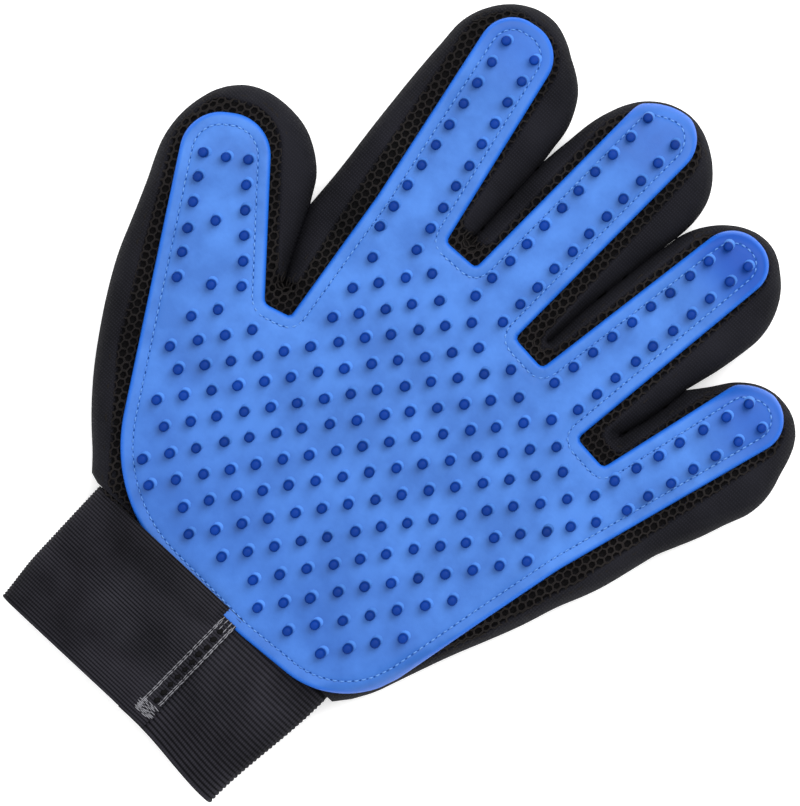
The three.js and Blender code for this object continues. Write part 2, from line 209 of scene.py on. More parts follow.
def evenly(points, step, closed=False):
    """The same line with its points about one step apart, and every original point kept near."""
    line = np.vstack([points, points[:1]]) if closed else points
    lengths = np.concatenate([[0], np.cumsum(np.linalg.norm(np.diff(line, axis=0), axis=1))])
    count = max(2, int(round(lengths[-1] / step)))
    at = np.linspace(0, lengths[-1], count + 1)
    made = np.column_stack([np.interp(at, lengths, line[:, k]) for k in range(line.shape[1])])
    return made[:-1] if closed else made


def smooth_line(points, step):
    """A centripetal Catmull-Rom curve through the points, so that close points don't make it overshoot."""
    points = np.array(points, float)
    padded = np.vstack([2 * points[0] - points[1], points, 2 * points[-1] - points[-2]])
    made = []
    for p0, p1, p2, p3 in zip(padded, padded[1:], padded[2:], padded[3:]):
        knots = [0.0]
        for a, b in ((p0, p1), (p1, p2), (p2, p3)):
            knots.append(knots[-1] + math.sqrt(np.linalg.norm(b - a)))
        t0, t1, t2, t3 = knots
        for t in np.linspace(t1, t2, 9)[:-1]:
            a1 = (t1 - t) / (t1 - t0) * p0 + (t - t0) / (t1 - t0) * p1
            a2 = (t2 - t) / (t2 - t1) * p1 + (t - t1) / (t2 - t1) * p2
            a3 = (t3 - t) / (t3 - t2) * p2 + (t - t2) / (t3 - t2) * p3
            b1 = (t2 - t) / (t2 - t0) * a1 + (t - t0) / (t2 - t0) * a2
            b2 = (t3 - t) / (t3 - t1) * a2 + (t - t1) / (t3 - t1) * a3
            made.append((t2 - t) / (t2 - t1) * b1 + (t - t1) / (t2 - t1) * b2)
    made.append(points[-1])
    return evenly(np.array(made), step)


def smoothstep(value, low, high):
    t = np.clip((value - low) / (high - low), 0, 1)
    return t * t * (3 - 2 * t)


def softened(line, reach, swell):
    """An open line with its small kinks averaged away, and set out a little to make up for it."""
    steps = np.arange(-2 * reach, 2 * reach + 1)
    weights = np.exp(-((steps / reach) ** 2))
    weights /= weights.sum()
    pad_count = 2 * reach
    start = 2 * line[0] - line[pad_count:0:-1]
    end = 2 * line[-1] - line[-2:-pad_count - 2:-1]
    long_line = np.vstack([start, line, end])
    soft = np.column_stack([np.convolve(long_line[:, k], weights, mode="valid") for k in range(2)])
    run = np.gradient(soft, axis=0)
    run /= np.linalg.norm(run, axis=1)[:, None]
    turning = np.gradient(np.unwrap(np.arctan2(run[:, 1], run[:, 0])))
    bent = np.convolve(np.abs(turning), np.ones(9) / 9, mode="same")
    out = np.column_stack([-run[:, 1], run[:, 0]])
    from_end = np.minimum(np.arange(len(soft)), np.arange(len(soft))[::-1])
    return soft + out * (swell * smoothstep(bent, 0.01, 0.05) * smoothstep(from_end, 0, 6))[:, None]


SIDES = [SIDE_THUMB, SIDE_INDEX, SIDE_MIDDLE, SIDE_RING, SIDE_LITTLE]
OUTLINE_STEP = 1.5
pad_outline = rounded_outline(PAD_CORNERS, 1.0)
seam_outline = rounded_outline(SEAM_CORNERS, OUTLINE_STEP)
free_lines = [softened(smooth_line(side, OUTLINE_STEP), 2, 0.5) for side in SIDES]
touch_lines = [evenly(np.array(line, float), OUTLINE_STEP) for line in TOUCH_LINES]
side_lines = []
for number, free in enumerate(free_lines):
    up = [touch_lines[number - 1][::-1]] if number else []
    down = [touch_lines[number][1:]] if number < len(touch_lines) else []
    side_lines.append(np.vstack([*up, free[1:] if number else free, *down]))
hand_side = np.vstack([[WRIST_LEFT], side_lines[0], *[line[1:] for line in side_lines[1:]], [WRIST_RIGHT]])
print("outline points: pad", len(pad_outline), "seam", len(seam_outline), "hand", len(hand_side))

# %% [markdown]
# Everything on the glove is placed by its distance to one of these outlines: the pad's rim, the stitch
# line, the roll of the knit over the side of a finger. So we need that distance for thousands of points at
# once, which numpy does in one go, and we need to know on which side of an outline a point lies.

# %% Distances


def distance_to(points, line, closed=True):
    """Distance from every point to the nearest part of the line, in slices that fit in memory."""
    ends = np.roll(line, -1, axis=0) if closed else line[1:]
    starts = line if closed else line[:-1]
    edge = ends - starts
    squared = np.maximum((edge**2).sum(1), 1e-12)
    result = []
    for part in np.array_split(points, max(1, len(points) // 2000)):
        rel = part[:, None, :] - starts[None]
        t = np.clip((rel * edge).sum(2) / squared, 0, 1)
        away = rel - t[:, :, None] * edge
        result.append(np.sqrt((away**2).sum(2).min(1)))
    return np.concatenate(result)


def inside(points, outline):
    """True for the points inside a closed outline, by counting crossings."""
    x, y = points[:, 0], points[:, 1]
    result = np.zeros(len(points), bool)
    for (ax, ay), (bx, by) in zip(outline, np.roll(outline, -1, axis=0)):
        crosses = (ay > y) != (by > y)
        if crosses.any():
            at = ax + (y - ay) / (by - ay if by != ay else 1e-9) * (bx - ax)
            result ^= crosses & (x < at)
    return result


# %% [markdown]
# ## How the glove lies
#
# An empty glove on a table isn't flat. The palm stands a little proud, the fingertips sink towards the
# table and the fabric rolls over at the sides. One height function says this for the whole hand, so that
# pad, mesh and knit keep following each other.

# %% The lie of the hand
HAND_TOP = MESH_HIGH[2]
MIDDLE_Z = SHELL_HIGH[2] / 2
PAD_RISE = PAD_LOW[2] - MESH_HIGH[2] + 1.4
TIP_DROOP = 3.0
TIP_DROOP_LENGTH = 26
PALM_SWELL = 0.9
WRIST_SINK = 1.0
SIDE_ROLL = 7
BACK_ROLL = 10
FINGER_REACH = {"thumb": 48, "index": 59, "middle": 66, "ring": 62, "little": 42}
THUMB_RING = np.vstack([[WRIST_LEFT], side_lines[0]])
LITTLE_RING = np.vstack([side_lines[4], [WRIST_RIGHT]])
FINGER_RINGS = [THUMB_RING, side_lines[1], side_lines[2], side_lines[3], LITTLE_RING]
LAYER_PARTS = ["palm"] + [name + part for part in ("_root", "_tip") for name in FINGER_NAMES]


def finger_uv(points, finger):
    """Distance past the knuckle and distance to the little-finger side of a finger's own axis."""
    rel = points[:, :2] - finger["at"]
    return rel @ finger["along"], rel @ finger["across"]


def part_of(points):
    """The number of the part in LAYER_PARTS that each point lies on: palm, finger root or fingertip."""
    part = np.zeros(len(points), int)
    for k, name in enumerate(FINGER_NAMES):
        finger = FINGERS[name]
        u, _ = finger_uv(points, finger)
        on_finger = inside(points, FINGER_RINGS[k]) & (u > finger["knuckle"][0])
        past_middle = u > finger["middle"][0]
        part[on_finger & ~past_middle] = 1 + k
        part[on_finger & past_middle] = 6 + k
    return part


def waves(points, length, seed):
    """Slow, uneven waves between about -1 and 1, from a few sines in seeded directions."""
    rng = np.random.default_rng(seed)
    total = np.zeros(len(points))
    for _ in range(5):
        angle, phase = rng.uniform(0, 2 * math.pi, 2)
        size = length * rng.uniform(0.7, 1.6)
        run = points[:, 0] * math.cos(angle) + points[:, 1] * math.sin(angle)
        total += np.sin(run * 2 * math.pi / size + phase)
    return total / 3


def droop(points):
    """How far the fingertips have sunk at each point."""
    fall = np.zeros(len(points))
    for k, name in enumerate(FINGER_NAMES):
        u, _ = finger_uv(points, FINGERS[name])
        reach = FINGER_REACH[name]
        sunk = TIP_DROOP * smoothstep(u, reach - TIP_DROOP_LENGTH, reach + 4)
        fall = np.where(inside(points, FINGER_RINGS[k]), sunk, fall)
    return fall


def top_height(points):
    """Height of the mesh panel's outer face, rolling down to half height at the silhouette."""
    fall = droop(points)
    top = HAND_TOP - fall + 0.25 * waves(points, 45, 3)
    top += PALM_SWELL * np.exp(-(((points[:, 0] - 5) / 45) ** 2 + ((points[:, 1] + 12) / 42) ** 2)) - 0.4
    top -= WRIST_SINK * smoothstep(-points[:, 1], 50, 74)
    middle = MIDDLE_Z - fall / 2
    near = np.clip(distance_to(points, hand_side, closed=False) / SIDE_ROLL, 0, 1)
    return middle + (top - middle) * (1 - (1 - near) ** 2.6) ** 0.5


def back_height(points):
    """Height of the back of the hand, which lies on the table and rolls up at the sides."""
    middle = MIDDLE_Z - droop(points) / 2
    near = np.clip(distance_to(points, hand_side, closed=False) / BACK_ROLL, 0, 1)
    low = 0.35 + 0.3 * waves(points, 60, 8)
    return middle + (low - middle) * np.sqrt(1 - (1 - near) ** 2)


def normals_at(points, height):
    """The upward normals of a height function, from two small steps."""
    step = 0.2
    here = height(points)
    slope_x = (height(points + [step, 0]) - here) / step
    slope_y = (height(points + [0, step]) - here) / step
    normals = np.column_stack([-slope_x, -slope_y, np.ones(len(points))])
    return normals / np.linalg.norm(normals, axis=1)[:, None]


# %% [markdown]
# ## Making sheets
#
# Each sheet is triangulated in the plane first, with its outline as an edge that has to stay. Extra rows of
# points follow the outline wherever the surface curves fast, and a honeycomb of points fills the rest. Only
# then does every point get its height.

# %% Flat triangulation


def inset_row(outline, distance, step, closed=True):
    """Points at one distance inside an outline, without those that a tight corner would push across."""
    line = evenly(outline, step, closed)
    ahead = np.roll(line, -1, axis=0) - np.roll(line, 1, axis=0)
    ahead /= np.maximum(np.linalg.norm(ahead, axis=1), 1e-9)[:, None]
    left = np.column_stack([-ahead[:, 1], ahead[:, 0]])
    best = []
    for side in (left, -left):
        moved = line + side * distance
        clear = distance_to(moved, outline, closed) > distance - 0.05
        best.append(moved[clear & inside(moved, outline)])
    return np.vstack(best)


def outset_row(outline, distance, step):
    """Points at one distance outside a closed outline."""
    line = evenly(outline, step, closed=True)
    ahead = np.roll(line, -1, axis=0) - np.roll(line, 1, axis=0)
    ahead /= np.maximum(np.linalg.norm(ahead, axis=1), 1e-9)[:, None]
    left = np.column_stack([-ahead[:, 1], ahead[:, 0]])
    moved = np.vstack([line + left * distance, line - left * distance])
    return moved[(distance_to(moved, outline) > distance - 0.05) & ~inside(moved, outline)]


def honeycomb(low, high, pitch):
    """Points of a triangular lattice over a box."""
    rows = []
    height = pitch * math.sqrt(3) / 2
    for j, y in enumerate(np.arange(low[1], high[1], height)):
        x = np.arange(low[0] + (j % 2) * pitch / 2, high[0], pitch)
        rows.append(np.column_stack([x, np.full(len(x), y)]))
    return np.vstack(rows)


def triangulate(loops, points):
    """Triangles over the loops and points; the loops are kept as edges."""
    corners, edges = [], []
    for loop in loops:
        first = len(corners)
        corners.extend(loop)
        edges.extend((first + i, first + (i + 1) % len(loop)) for i in range(len(loop)))
    corners.extend(points)
    made = delaunay_2d_cdt([Vector((p[0], p[1])) for p in corners], edges, [], 0, 1e-5)
    return np.array([v[:] for v in made[0]]), np.array(made[2], int)


def filled(outline, pitch, rows, holes=()):
    """The flat sheet inside an outline: its own points, rows along it, and a honeycomb in the middle."""
    low, high = outline.min(0), outline.max(0)
    row_points = [inset_row(outline, distance, step) for distance, step in rows]
    lattice = honeycomb(low, high, pitch)
    deepest = rows[-1][0] if rows else 0
    lattice = lattice[inside(lattice, outline)]
    lattice = lattice[distance_to(lattice, outline) > deepest + pitch * 0.6]
    points, faces = triangulate([outline, *holes], np.vstack([*row_points, lattice]))
    centres = points[faces].mean(1)
    keep = inside(centres, outline)
    for hole in holes:
        keep &= ~inside(centres, hole)
    return points, faces[keep]


def held_inside(line, outline, margin, step):
    """The same line, with the points of its upper half at least one distance inside an outline."""
    held = []
    for point, is_inside in zip(line, inside(line, outline)):
        if point[1] < -60:
            held.append(point)
            continue
        starts, ends = outline, np.roll(outline, -1, axis=0)
        edges = ends - starts
        share = np.clip(((point - starts) * edges).sum(1) / np.maximum((edges ** 2).sum(1), 1e-9), 0, 1)
        nearest = starts + share[:, None] * edges
        gaps = np.linalg.norm(nearest - point, axis=1)
        best = nearest[gaps.argmin()]
        way = (point - best) * (1 if is_inside else -1)
        if is_inside and gaps.min() >= margin:
            held.append(point)
        else:
            held.append(best + way / max(np.linalg.norm(way), 1e-6) * margin)
    return evenly(np.array(held), step, closed=True)


seam_outline = held_inside(seam_outline, hand_side, 1.8, OUTLINE_STEP)
pad_outline = held_inside(pad_outline, hand_side, 0.7, 1.0)
print("hand outline", len(hand_side), "points")

# %% [markdown]
# ## Meshes and their parts
#
# A layer such as the pad runs over the palm and all five fingers, yet each finger must be able to bend. We
# make the layer whole, work out its normals, and only then cut it into eleven parts. Because every part
# keeps the whole layer's normals, the cuts don't show. The root of a finger bends between the palm and its
# first segment, and its tip bends between the two segments.

# %% Mesh helpers


def mesh_object(name, points, faces, material, floats=None):
    """A smooth object in metres from points in millimetres and a list of faces."""
    mesh = bpy.data.meshes.new(name)
    mesh.from_pydata((np.asarray(points) * MM).tolist(), [], [list(map(int, face)) for face in faces])
    mesh.materials.append(material)
    mesh.polygons.foreach_set("use_smooth", np.ones(len(mesh.polygons), bool))
    for key, values in (floats or {}).items():
        mesh.attributes.new(key, "FLOAT", "POINT").data.foreach_set("value", np.asarray(values, np.float32))
    mesh.update()
    made = bpy.data.objects.new(name, mesh)
    bpy.context.scene.collection.objects.link(made)
    return made


def read(collection, key, width=1, kind=np.float32):
    values = np.zeros(len(collection) * width, kind)
    collection.foreach_get(key, values)
    return values.reshape(-1, width) if width > 1 else values


def cut_mesh(whole, chosen, name):
    """The chosen faces of a whole mesh as a new mesh that keeps the whole mesh's normals and attributes."""
    totals = read(whole.polygons, "loop_total", kind=np.int32)
    corners = read(whole.loops, "vertex_index", kind=np.int32)
    corners = corners[np.repeat(chosen, totals)]
    used, corner_index = np.unique(corners, return_inverse=True)
    mesh = bpy.data.meshes.new(name)
    mesh.vertices.add(len(used))
    mesh.vertices.foreach_set("co", read(whole.vertices, "co", 3)[used].ravel())
    mesh.loops.add(len(corners))
    mesh.loops.foreach_set("vertex_index", corner_index.astype(np.int32))
    kept = totals[chosen]
    mesh.polygons.add(len(kept))
    mesh.polygons.foreach_set("loop_start", np.concatenate([[0], np.cumsum(kept)[:-1]]).astype(np.int32))
    mesh.update(calc_edges=True)
    mesh.polygons.foreach_set("use_smooth", np.ones(len(kept), bool))
    for material in whole.materials:
        mesh.materials.append(material)
    for attribute in whole.attributes:
        if attribute.domain == "POINT" and attribute.data_type == "FLOAT" and not attribute.is_internal:
            values = read(attribute.data, "value")[used]
            mesh.attributes.new(attribute.name, "FLOAT", "POINT").data.foreach_set("value", values)
    mesh.normals_split_custom_set_from_vertices(read(whole.vertices, "normal", 3)[used])
    return mesh


def fit_to_body(piece, part):
    """Let one part of a layer follow its body, or bend between two."""
    if part == "palm":
        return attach(piece, "palm")
    name, which = part.rsplit("_", 1)
    finger = FINGERS[name]
    first, last = finger["knuckle"] if which == "root" else finger["middle"]
    bodies = ("palm", name + "_root") if which == "root" else (name + "_root", name + "_tip")
    ends = []
    for u in (first, last):
        x, y = (finger["at"] + finger["along"] * u) * MM
        ends.append((x, y, JOINTS[name + "_knuckle_bend"]["pos_m"][2]))
    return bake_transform(piece, *bodies, *ends)


def cut_layer(whole, layer, node_suffix=None):
    """Cut a whole layer at the bend lines, hand each part to its body and return the parts by name."""
    mesh = whole.data
    mesh.update()
    centres = read(mesh.polygons, "center", 3)[:, :2] / MM
    part_index = part_of(centres)
    parts = {}
    for number, part in enumerate(LAYER_PARTS):
        chosen = part_index == number
        if not chosen.any():
            continue
        name = part + "_" + layer
        piece = bpy.data.objects.new(name, cut_mesh(mesh, chosen, name))
        bpy.context.scene.collection.objects.link(piece)
        fit_to_body(piece, part)
        if node_suffix:
            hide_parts(part + node_suffix)
        parts[part] = piece
    bpy.data.objects.remove(whole)
    print(layer, "in", len(parts), "parts,", sum(len(p.data.polygons) for p in parts.values()), "faces")
    return parts


# %% [markdown]
# ## Materials
#
# Every material is a small graph of nodes: a coordinate, one or two patterns, a colour ramp and a bump. The
# helpers below only create a labelled node, link two sockets and put a frame around the nodes that make one
# effect, so that the graph reads well in the node editor.

# %% Node helpers


def new_material(name):
    material = bpy.data.materials.new(name)
    material.use_nodes = True
    nodes = material.node_tree.nodes
    nodes.clear()
    output = nodes.new("ShaderNodeOutputMaterial")
    output.location = (900, 0)
    shader = nodes.new("ShaderNodeBsdfPrincipled")
    shader.label = "Surface"
    shader.location = (600, 0)
    material.node_tree.links.new(shader.outputs["BSDF"], output.inputs["Surface"])
    return material, shader


def add_node(tree, kind, label, location, **settings):
    node = tree.nodes.new(kind)
    node.label = label
    node.location = location
    for key, value in settings.items():
        setattr(node, key, value)
    return node


def group_nodes(tree, label, nodes):
    """A labelled frame around the nodes that make one effect."""
    frame_node = tree.nodes.new("NodeFrame")
    frame_node.label = label
    for node in nodes:
        node.parent = frame_node


def add_ramp(tree, label, location, stops):
    ramp = add_node(tree, "ShaderNodeValToRGB", label, location)
    elements = ramp.color_ramp.elements
    while len(elements) > 1:
        elements.remove(elements[-1])
    elements[0].position, elements[0].color = stops[0][0], (*stops[0][1], 1)
    for position, colour in stops[1:]:
        elements.new(position).color = (*colour, 1)
    return ramp


def linear(red, green, blue):
    """A colour as a screen shows it, from 0 to 255, as the linear light that a shader wants."""
    shown = [channel / 255 for channel in (red, green, blue)]
    return tuple(((c + 0.055) / 1.055) ** 2.4 if c > 10 / 255 else c / 12.92 for c in shown)


# %% [markdown]
# Rubber that has been handled is never one flat colour. Slow blotches lighten and darken the blue, and fine
# grain keeps the highlights broken. Two marks are painted shade: a deeper blue on the rim where it turns down
# to the mesh, and a deeper blue near the fingertips, where the pad bends away from the light. The distance to
# the pad's edge comes in as an attribute called edge, and the share of fingertip shade as one called tip.

# %% Rubber


def rubber_material(name, light, dark, rim, tip, roughness):
    material, shader = new_material(name)
    tree = material.node_tree
    links = tree.links
    coordinate = add_node(tree, "ShaderNodeTexCoord", "Place on the glove", (-1300, 100))
    blotches = add_node(tree, "ShaderNodeTexNoise", "Blotches", (-1100, 250))
    blotches.inputs["Scale"].default_value = 55
    blotches.inputs["Detail"].default_value = 4
    blotches.inputs["Roughness"].default_value = 0.62
    tone = add_ramp(tree, "Light and dark rubber", (-850, 250), [(0.36, dark), (0.62, light)])
    links.new(coordinate.outputs["Object"], blotches.inputs["Vector"])
    links.new(blotches.outputs["Fac"], tone.inputs["Fac"])
    group_nodes(tree, "Uneven colour", [blotches, tone])

    edge = add_node(
        tree, "ShaderNodeAttribute", "Distance to the edge, mm", (-1100, -50), attribute_name="edge")
    at_rim = add_node(tree, "ShaderNodeMapRange", "Rim", (-850, -50))
    at_rim.inputs["From Min"].default_value = 0.3
    at_rim.inputs["From Max"].default_value = 1.3
    at_rim.inputs["To Min"].default_value = 1
    at_rim.inputs["To Max"].default_value = 0
    # Painted shade: a deeper blue within about a millimetre of the edge and on the side wall, where the rim
    # turns down.
    rim_mix = add_node(tree, "ShaderNodeMix", "Painted shade on the rim", (-500, 150), data_type="RGBA")
    rim_mix.inputs["B"].default_value = (*rim, 1)
    links.new(edge.outputs["Fac"], at_rim.inputs["Value"])
    links.new(at_rim.outputs["Result"], rim_mix.inputs["Factor"])
    links.new(rim_mix.outputs["Result"], shader.inputs["Base Color"])
    group_nodes(tree, "Rim", [edge, at_rim, rim_mix])

    # Painted shade: the fingertips are mixed towards a deeper blue where the pad bends away from the light.
    at_tip = add_node(tree, "ShaderNodeAttribute", "Share of fingertip", (-1100, 550), attribute_name="tip")
    tip_mix = add_node(tree, "ShaderNodeMix", "Painted shade on the fingertips", (-600, 400), data_type="RGBA")
    tip_mix.inputs["B"].default_value = (*tip, 1)
    links.new(at_tip.outputs["Fac"], tip_mix.inputs["Factor"])
    links.new(tone.outputs["Color"], tip_mix.inputs["A"])
    links.new(tip_mix.outputs["Result"], rim_mix.inputs["A"])
    group_nodes(tree, "Fingertips", [at_tip, tip_mix])

    grain = add_node(tree, "ShaderNodeTexNoise", "Fine grain", (-850, -350))
    grain.inputs["Scale"].default_value = 1400
    grain.inputs["Detail"].default_value = 3
    swell = add_node(tree, "ShaderNodeTexNoise", "Soft swell", (-850, -600))
    swell.inputs["Scale"].default_value = 120
    swell.inputs["Detail"].default_value = 2
    grain_bump = add_node(tree, "ShaderNodeBump", "Grain", (-300, -350))
    grain_bump.inputs["Strength"].default_value = 0.35
    grain_bump.inputs["Distance"].default_value = 0.00008
    swell_bump = add_node(tree, "ShaderNodeBump", "Swell", (-50, -450))
    swell_bump.inputs["Strength"].default_value = 0.25
    swell_bump.inputs["Distance"].default_value = 0.0005
    links.new(coordinate.outputs["Object"], grain.inputs["Vector"])
    links.new(coordinate.outputs["Object"], swell.inputs["Vector"])
    links.new(grain.outputs["Fac"], grain_bump.inputs["Height"])
    links.new(swell.outputs["Fac"], swell_bump.inputs["Height"])
    links.new(grain_bump.outputs["Normal"], swell_bump.inputs["Normal"])
    links.new(swell_bump.outputs["Normal"], shader.inputs["Normal"])
    group_nodes(tree, "Moulded surface", [grain, swell, grain_bump, swell_bump])

    smooth, worn = (roughness - 0.1,) * 3, (roughness + 0.12,) * 3
    polish = add_ramp(tree, "Clean and worn", (-300, -50), [(0.3, smooth), (0.7, worn)])
    links.new(blotches.outputs["Fac"], polish.inputs["Fac"])
    links.new(polish.outputs["Color"], shader.inputs["Roughness"])
    shader.inputs["Specular IOR Level"].default_value = 0.2
    return material


# The rim and tip colours are painted shade: on the turned-down rim, and on fingertips that bend away from the
# light.
PAD_RUBBER = rubber_material(
    "blue_rubber", light=linear(63, 112, 187), dark=linear(46, 93, 165), rim=linear(24, 92, 190),
    tip=linear(0, 62, 148), roughness=0.5)

# %% [markdown]
# The nubs are the same rubber. Their side and tip are painted a dark navy, which is partly the deeper blue of
# thick rubber and partly painted shade on the flank that faces away from the key light; only the foot keeps
# the pad's own blue. An attribute called level runs from 0 at a nub's foot to 1 at its tip, and shade gives
# each nub a slightly different tone.

# %% Nubs


def nub_material(name, foot, side, tip):
    material, shader = new_material(name)
    tree = material.node_tree
    links = tree.links
    level = add_node(tree, "ShaderNodeAttribute", "Height on the nub", (-700, 150), attribute_name="level")
    height_tone = add_ramp(
        tree, "Foot, and painted shade on side and tip", (-450, 150), [(0.0, foot), (0.22, foot), (0.42, side), (1.0, tip)])
    shade = add_node(tree, "ShaderNodeAttribute", "Tone of this nub", (-700, -100), attribute_name="shade")
    tone = add_node(tree, "ShaderNodeHueSaturation", "Lighter or darker", (-100, 100))
    links.new(level.outputs["Fac"], height_tone.inputs["Fac"])
    links.new(height_tone.outputs["Color"], tone.inputs["Color"])
    links.new(shade.outputs["Fac"], tone.inputs["Value"])
    links.new(tone.outputs["Color"], shader.inputs["Base Color"])
    group_nodes(tree, "Painted shade along the nub", [level, height_tone, shade, tone])
    coordinate = add_node(tree, "ShaderNodeTexCoord", "Place on the glove", (-700, -350))
    grain = add_node(tree, "ShaderNodeTexNoise", "Fine grain", (-450, -350))
    grain.inputs["Scale"].default_value = 1400
    bump = add_node(tree, "ShaderNodeBump", "Grain", (-100, -300))
    bump.inputs["Strength"].default_value = 0.3
    bump.inputs["Distance"].default_value = 0.0001
    links.new(coordinate.outputs["Object"], grain.inputs["Vector"])
    links.new(grain.outputs["Fac"], bump.inputs["Height"])
    links.new(bump.outputs["Normal"], shader.inputs["Normal"])
    group_nodes(tree, "Moulded surface", [coordinate, grain, bump])
    shader.inputs["Roughness"].default_value = 0.5
    shader.inputs["Specular IOR Level"].default_value = 0.08
    return material


# Side and tip are painted dark navy: partly painted shade on the flank turned from the key light, partly the
# deeper blue of thick rubber. The foot keeps the pad's blue.
NUB_RUBBER = nub_material("nub_rubber", linear(70, 118, 192), linear(2, 38, 108), linear(3, 44, 120))

# %% [markdown]
# The fabrics are all dark, so their weave has to come from relief more than from colour. One function makes
# any of them: two crossing waves for the yarn rows, noise that makes the rows uneven, a slow fade for wear,
# and fine fuzz in the relief. For the ribbed elastic an attribute also darkens the grooves between the ribs,
# which is painted shade.

# %% Fabrics
WAVE_UNIT = 0.314  # a wave texture of scale 1 repeats every 0.314 m


def fabric_material(name, dark, light, rows_per_m, cross_per_m, relief, turn=0.0, roughness=0.9,
                    groove_shade_attribute=None):
    material, shader = new_material(name)
    tree = material.node_tree
    links = tree.links
    coordinate = add_node(tree, "ShaderNodeTexCoord", "Place on the glove", (-1500, 0))
    turned = add_node(tree, "ShaderNodeMapping", "Direction of the yarn", (-1300, 0))
    turned.inputs["Rotation"].default_value = (0, 0, turn)
    links.new(coordinate.outputs["Object"], turned.inputs["Vector"])
    rows = add_node(tree, "ShaderNodeTexWave", "Rows of yarn", (-1050, 200), bands_direction="Y")
    rows.inputs["Scale"].default_value = rows_per_m * WAVE_UNIT
    rows.inputs["Distortion"].default_value = 1.2
    rows.inputs["Detail Scale"].default_value = 30
    cross = add_node(tree, "ShaderNodeTexWave", "Stitches in a row", (-1050, -150), bands_direction="X")
    cross.inputs["Scale"].default_value = cross_per_m * WAVE_UNIT
    cross.inputs["Distortion"].default_value = 1.2
    cross.inputs["Detail Scale"].default_value = 30
    weave = add_node(tree, "ShaderNodeMath", "Weave", (-800, 50), operation="MULTIPLY")
    for wave in (rows, cross):
        links.new(turned.outputs["Vector"], wave.inputs["Vector"])
    links.new(rows.outputs["Fac"], weave.inputs[0])
    links.new(cross.outputs["Fac"], weave.inputs[1])
    group_nodes(tree, "Weave", [turned, rows, cross, weave])

    wear = add_node(tree, "ShaderNodeTexNoise", "Wear", (-1050, -500))
    wear.inputs["Scale"].default_value = 45
    wear.inputs["Detail"].default_value = 5
    fade = add_node(tree, "ShaderNodeMath", "Weave and wear", (-550, -100), operation="MULTIPLY_ADD")
    fade.inputs[1].default_value = 0.55
    tone = add_ramp(tree, "Dark and worn yarn", (-300, 50), [(0.25, dark), (0.95, light)])
    links.new(coordinate.outputs["Object"], wear.inputs["Vector"])
    links.new(weave.outputs["Value"], fade.inputs[0])
    links.new(wear.outputs["Fac"], fade.inputs[2])
    # The attribute is 0 in a groove and 1 on a ridge, and darkens the colour in the grooves: painted shade.
    if groove_shade_attribute:
        ridge = add_node(
            tree, "ShaderNodeAttribute", "Groove and ridge", (-800, -250), attribute_name=groove_shade_attribute)
        shaded = add_node(tree, "ShaderNodeMath", "Painted shade in the grooves", (-450, -250), operation="MULTIPLY")
        links.new(ridge.outputs["Fac"], shaded.inputs[0])
        links.new(fade.outputs["Value"], shaded.inputs[1])
        links.new(shaded.outputs["Value"], tone.inputs["Fac"])
    else:
        links.new(fade.outputs["Value"], tone.inputs["Fac"])
    links.new(tone.outputs["Color"], shader.inputs["Base Color"])
    group_nodes(tree, "Colour and wear", [wear, fade, tone])

    fuzz = add_node(tree, "ShaderNodeTexNoise", "Fuzz", (-550, -400))
    fuzz.inputs["Scale"].default_value = 3500
    fuzz_bump = add_node(tree, "ShaderNodeBump", "Fuzz relief", (-50, -450))
    fuzz_bump.inputs["Strength"].default_value = 0.3
    fuzz_bump.inputs["Distance"].default_value = 0.0001
    weave_bump = add_node(tree, "ShaderNodeBump", "Weave relief", (200, -350))
    weave_bump.inputs["Strength"].default_value = 0.9
    weave_bump.inputs["Distance"].default_value = relief
    links.new(coordinate.outputs["Object"], fuzz.inputs["Vector"])
    links.new(fuzz.outputs["Fac"], fuzz_bump.inputs["Height"])
    links.new(weave.outputs["Value"], weave_bump.inputs["Height"])
    links.new(fuzz_bump.outputs["Normal"], weave_bump.inputs["Normal"])
    links.new(weave_bump.outputs["Normal"], shader.inputs["Normal"])
    group_nodes(tree, "Relief", [fuzz, fuzz_bump, weave_bump])

    shader.inputs["Roughness"].default_value = roughness
    shader.inputs["Specular IOR Level"].default_value = 0.08
    return material


KNIT = fabric_material("black_knit", linear(7, 7, 10), linear(30, 30, 36), 1150, 1500, 0.00014)
NET_YARN = fabric_material("mesh_yarn", linear(12, 11, 12), linear(38, 35, 34), 3200, 2600, 0.00008)
MESH_BACK = fabric_material("mesh_lining", linear(7, 7, 8), linear(17, 16, 17), 1800, 1800, 0.0001)
# The rib attribute paints shade into the grooves between the ribs.
ELASTIC = fabric_material(
    "rib_elastic", linear(9, 9, 12), linear(49, 48, 55), 4200, 1500, 0.00006, groove_shade_attribute="rib")
TAPE = fabric_material("binding_tape", linear(14, 14, 17), linear(38, 38, 44), 2200, 2200, 0.00008)
LOOP = fabric_material("loop_fabric", linear(12, 12, 14), linear(44, 44, 50), 1300, 1700, 0.0003, turn=0.4)
HOOK = fabric_material(
    "hook_plastic", linear(10, 10, 12), linear(32, 32, 36), 900, 900, 0.0001, roughness=0.45)
BLUE_THREAD = fabric_material("blue_thread", linear(64, 112, 190), linear(112, 156, 214), 5200, 5200, 0.00006)
# Needle holes are painted shade: dark blue discs where the holes are.
NEEDLE_HOLE_SHADE = fabric_material("needle_hole_shade", linear(18, 52, 112), linear(34, 74, 140), 900, 900, 0.00002)
GREY_THREAD = fabric_material("grey_thread", linear(76, 76, 80), linear(140, 140, 146), 5200, 5200, 0.00006)

# %% [markdown]
# ## Knit back and sides
#
# The knit covers the back of the hand and comes up round every finger to the seam with the mesh. The back
# is one full sheet. The front is only a band, from the silhouette to just inside the seam.

# %% Knit
SIDE_ROWS = [(0.25, 1.5), (0.8, 1.5), (1.8, 1.7), (3.2, 2.0), (5.0, 2.4), (7.4, 2.8)]
LIP_ROWS = (0.35, 1.0)
LIP_RISE = 0.35
LIP_DROP = 1.7

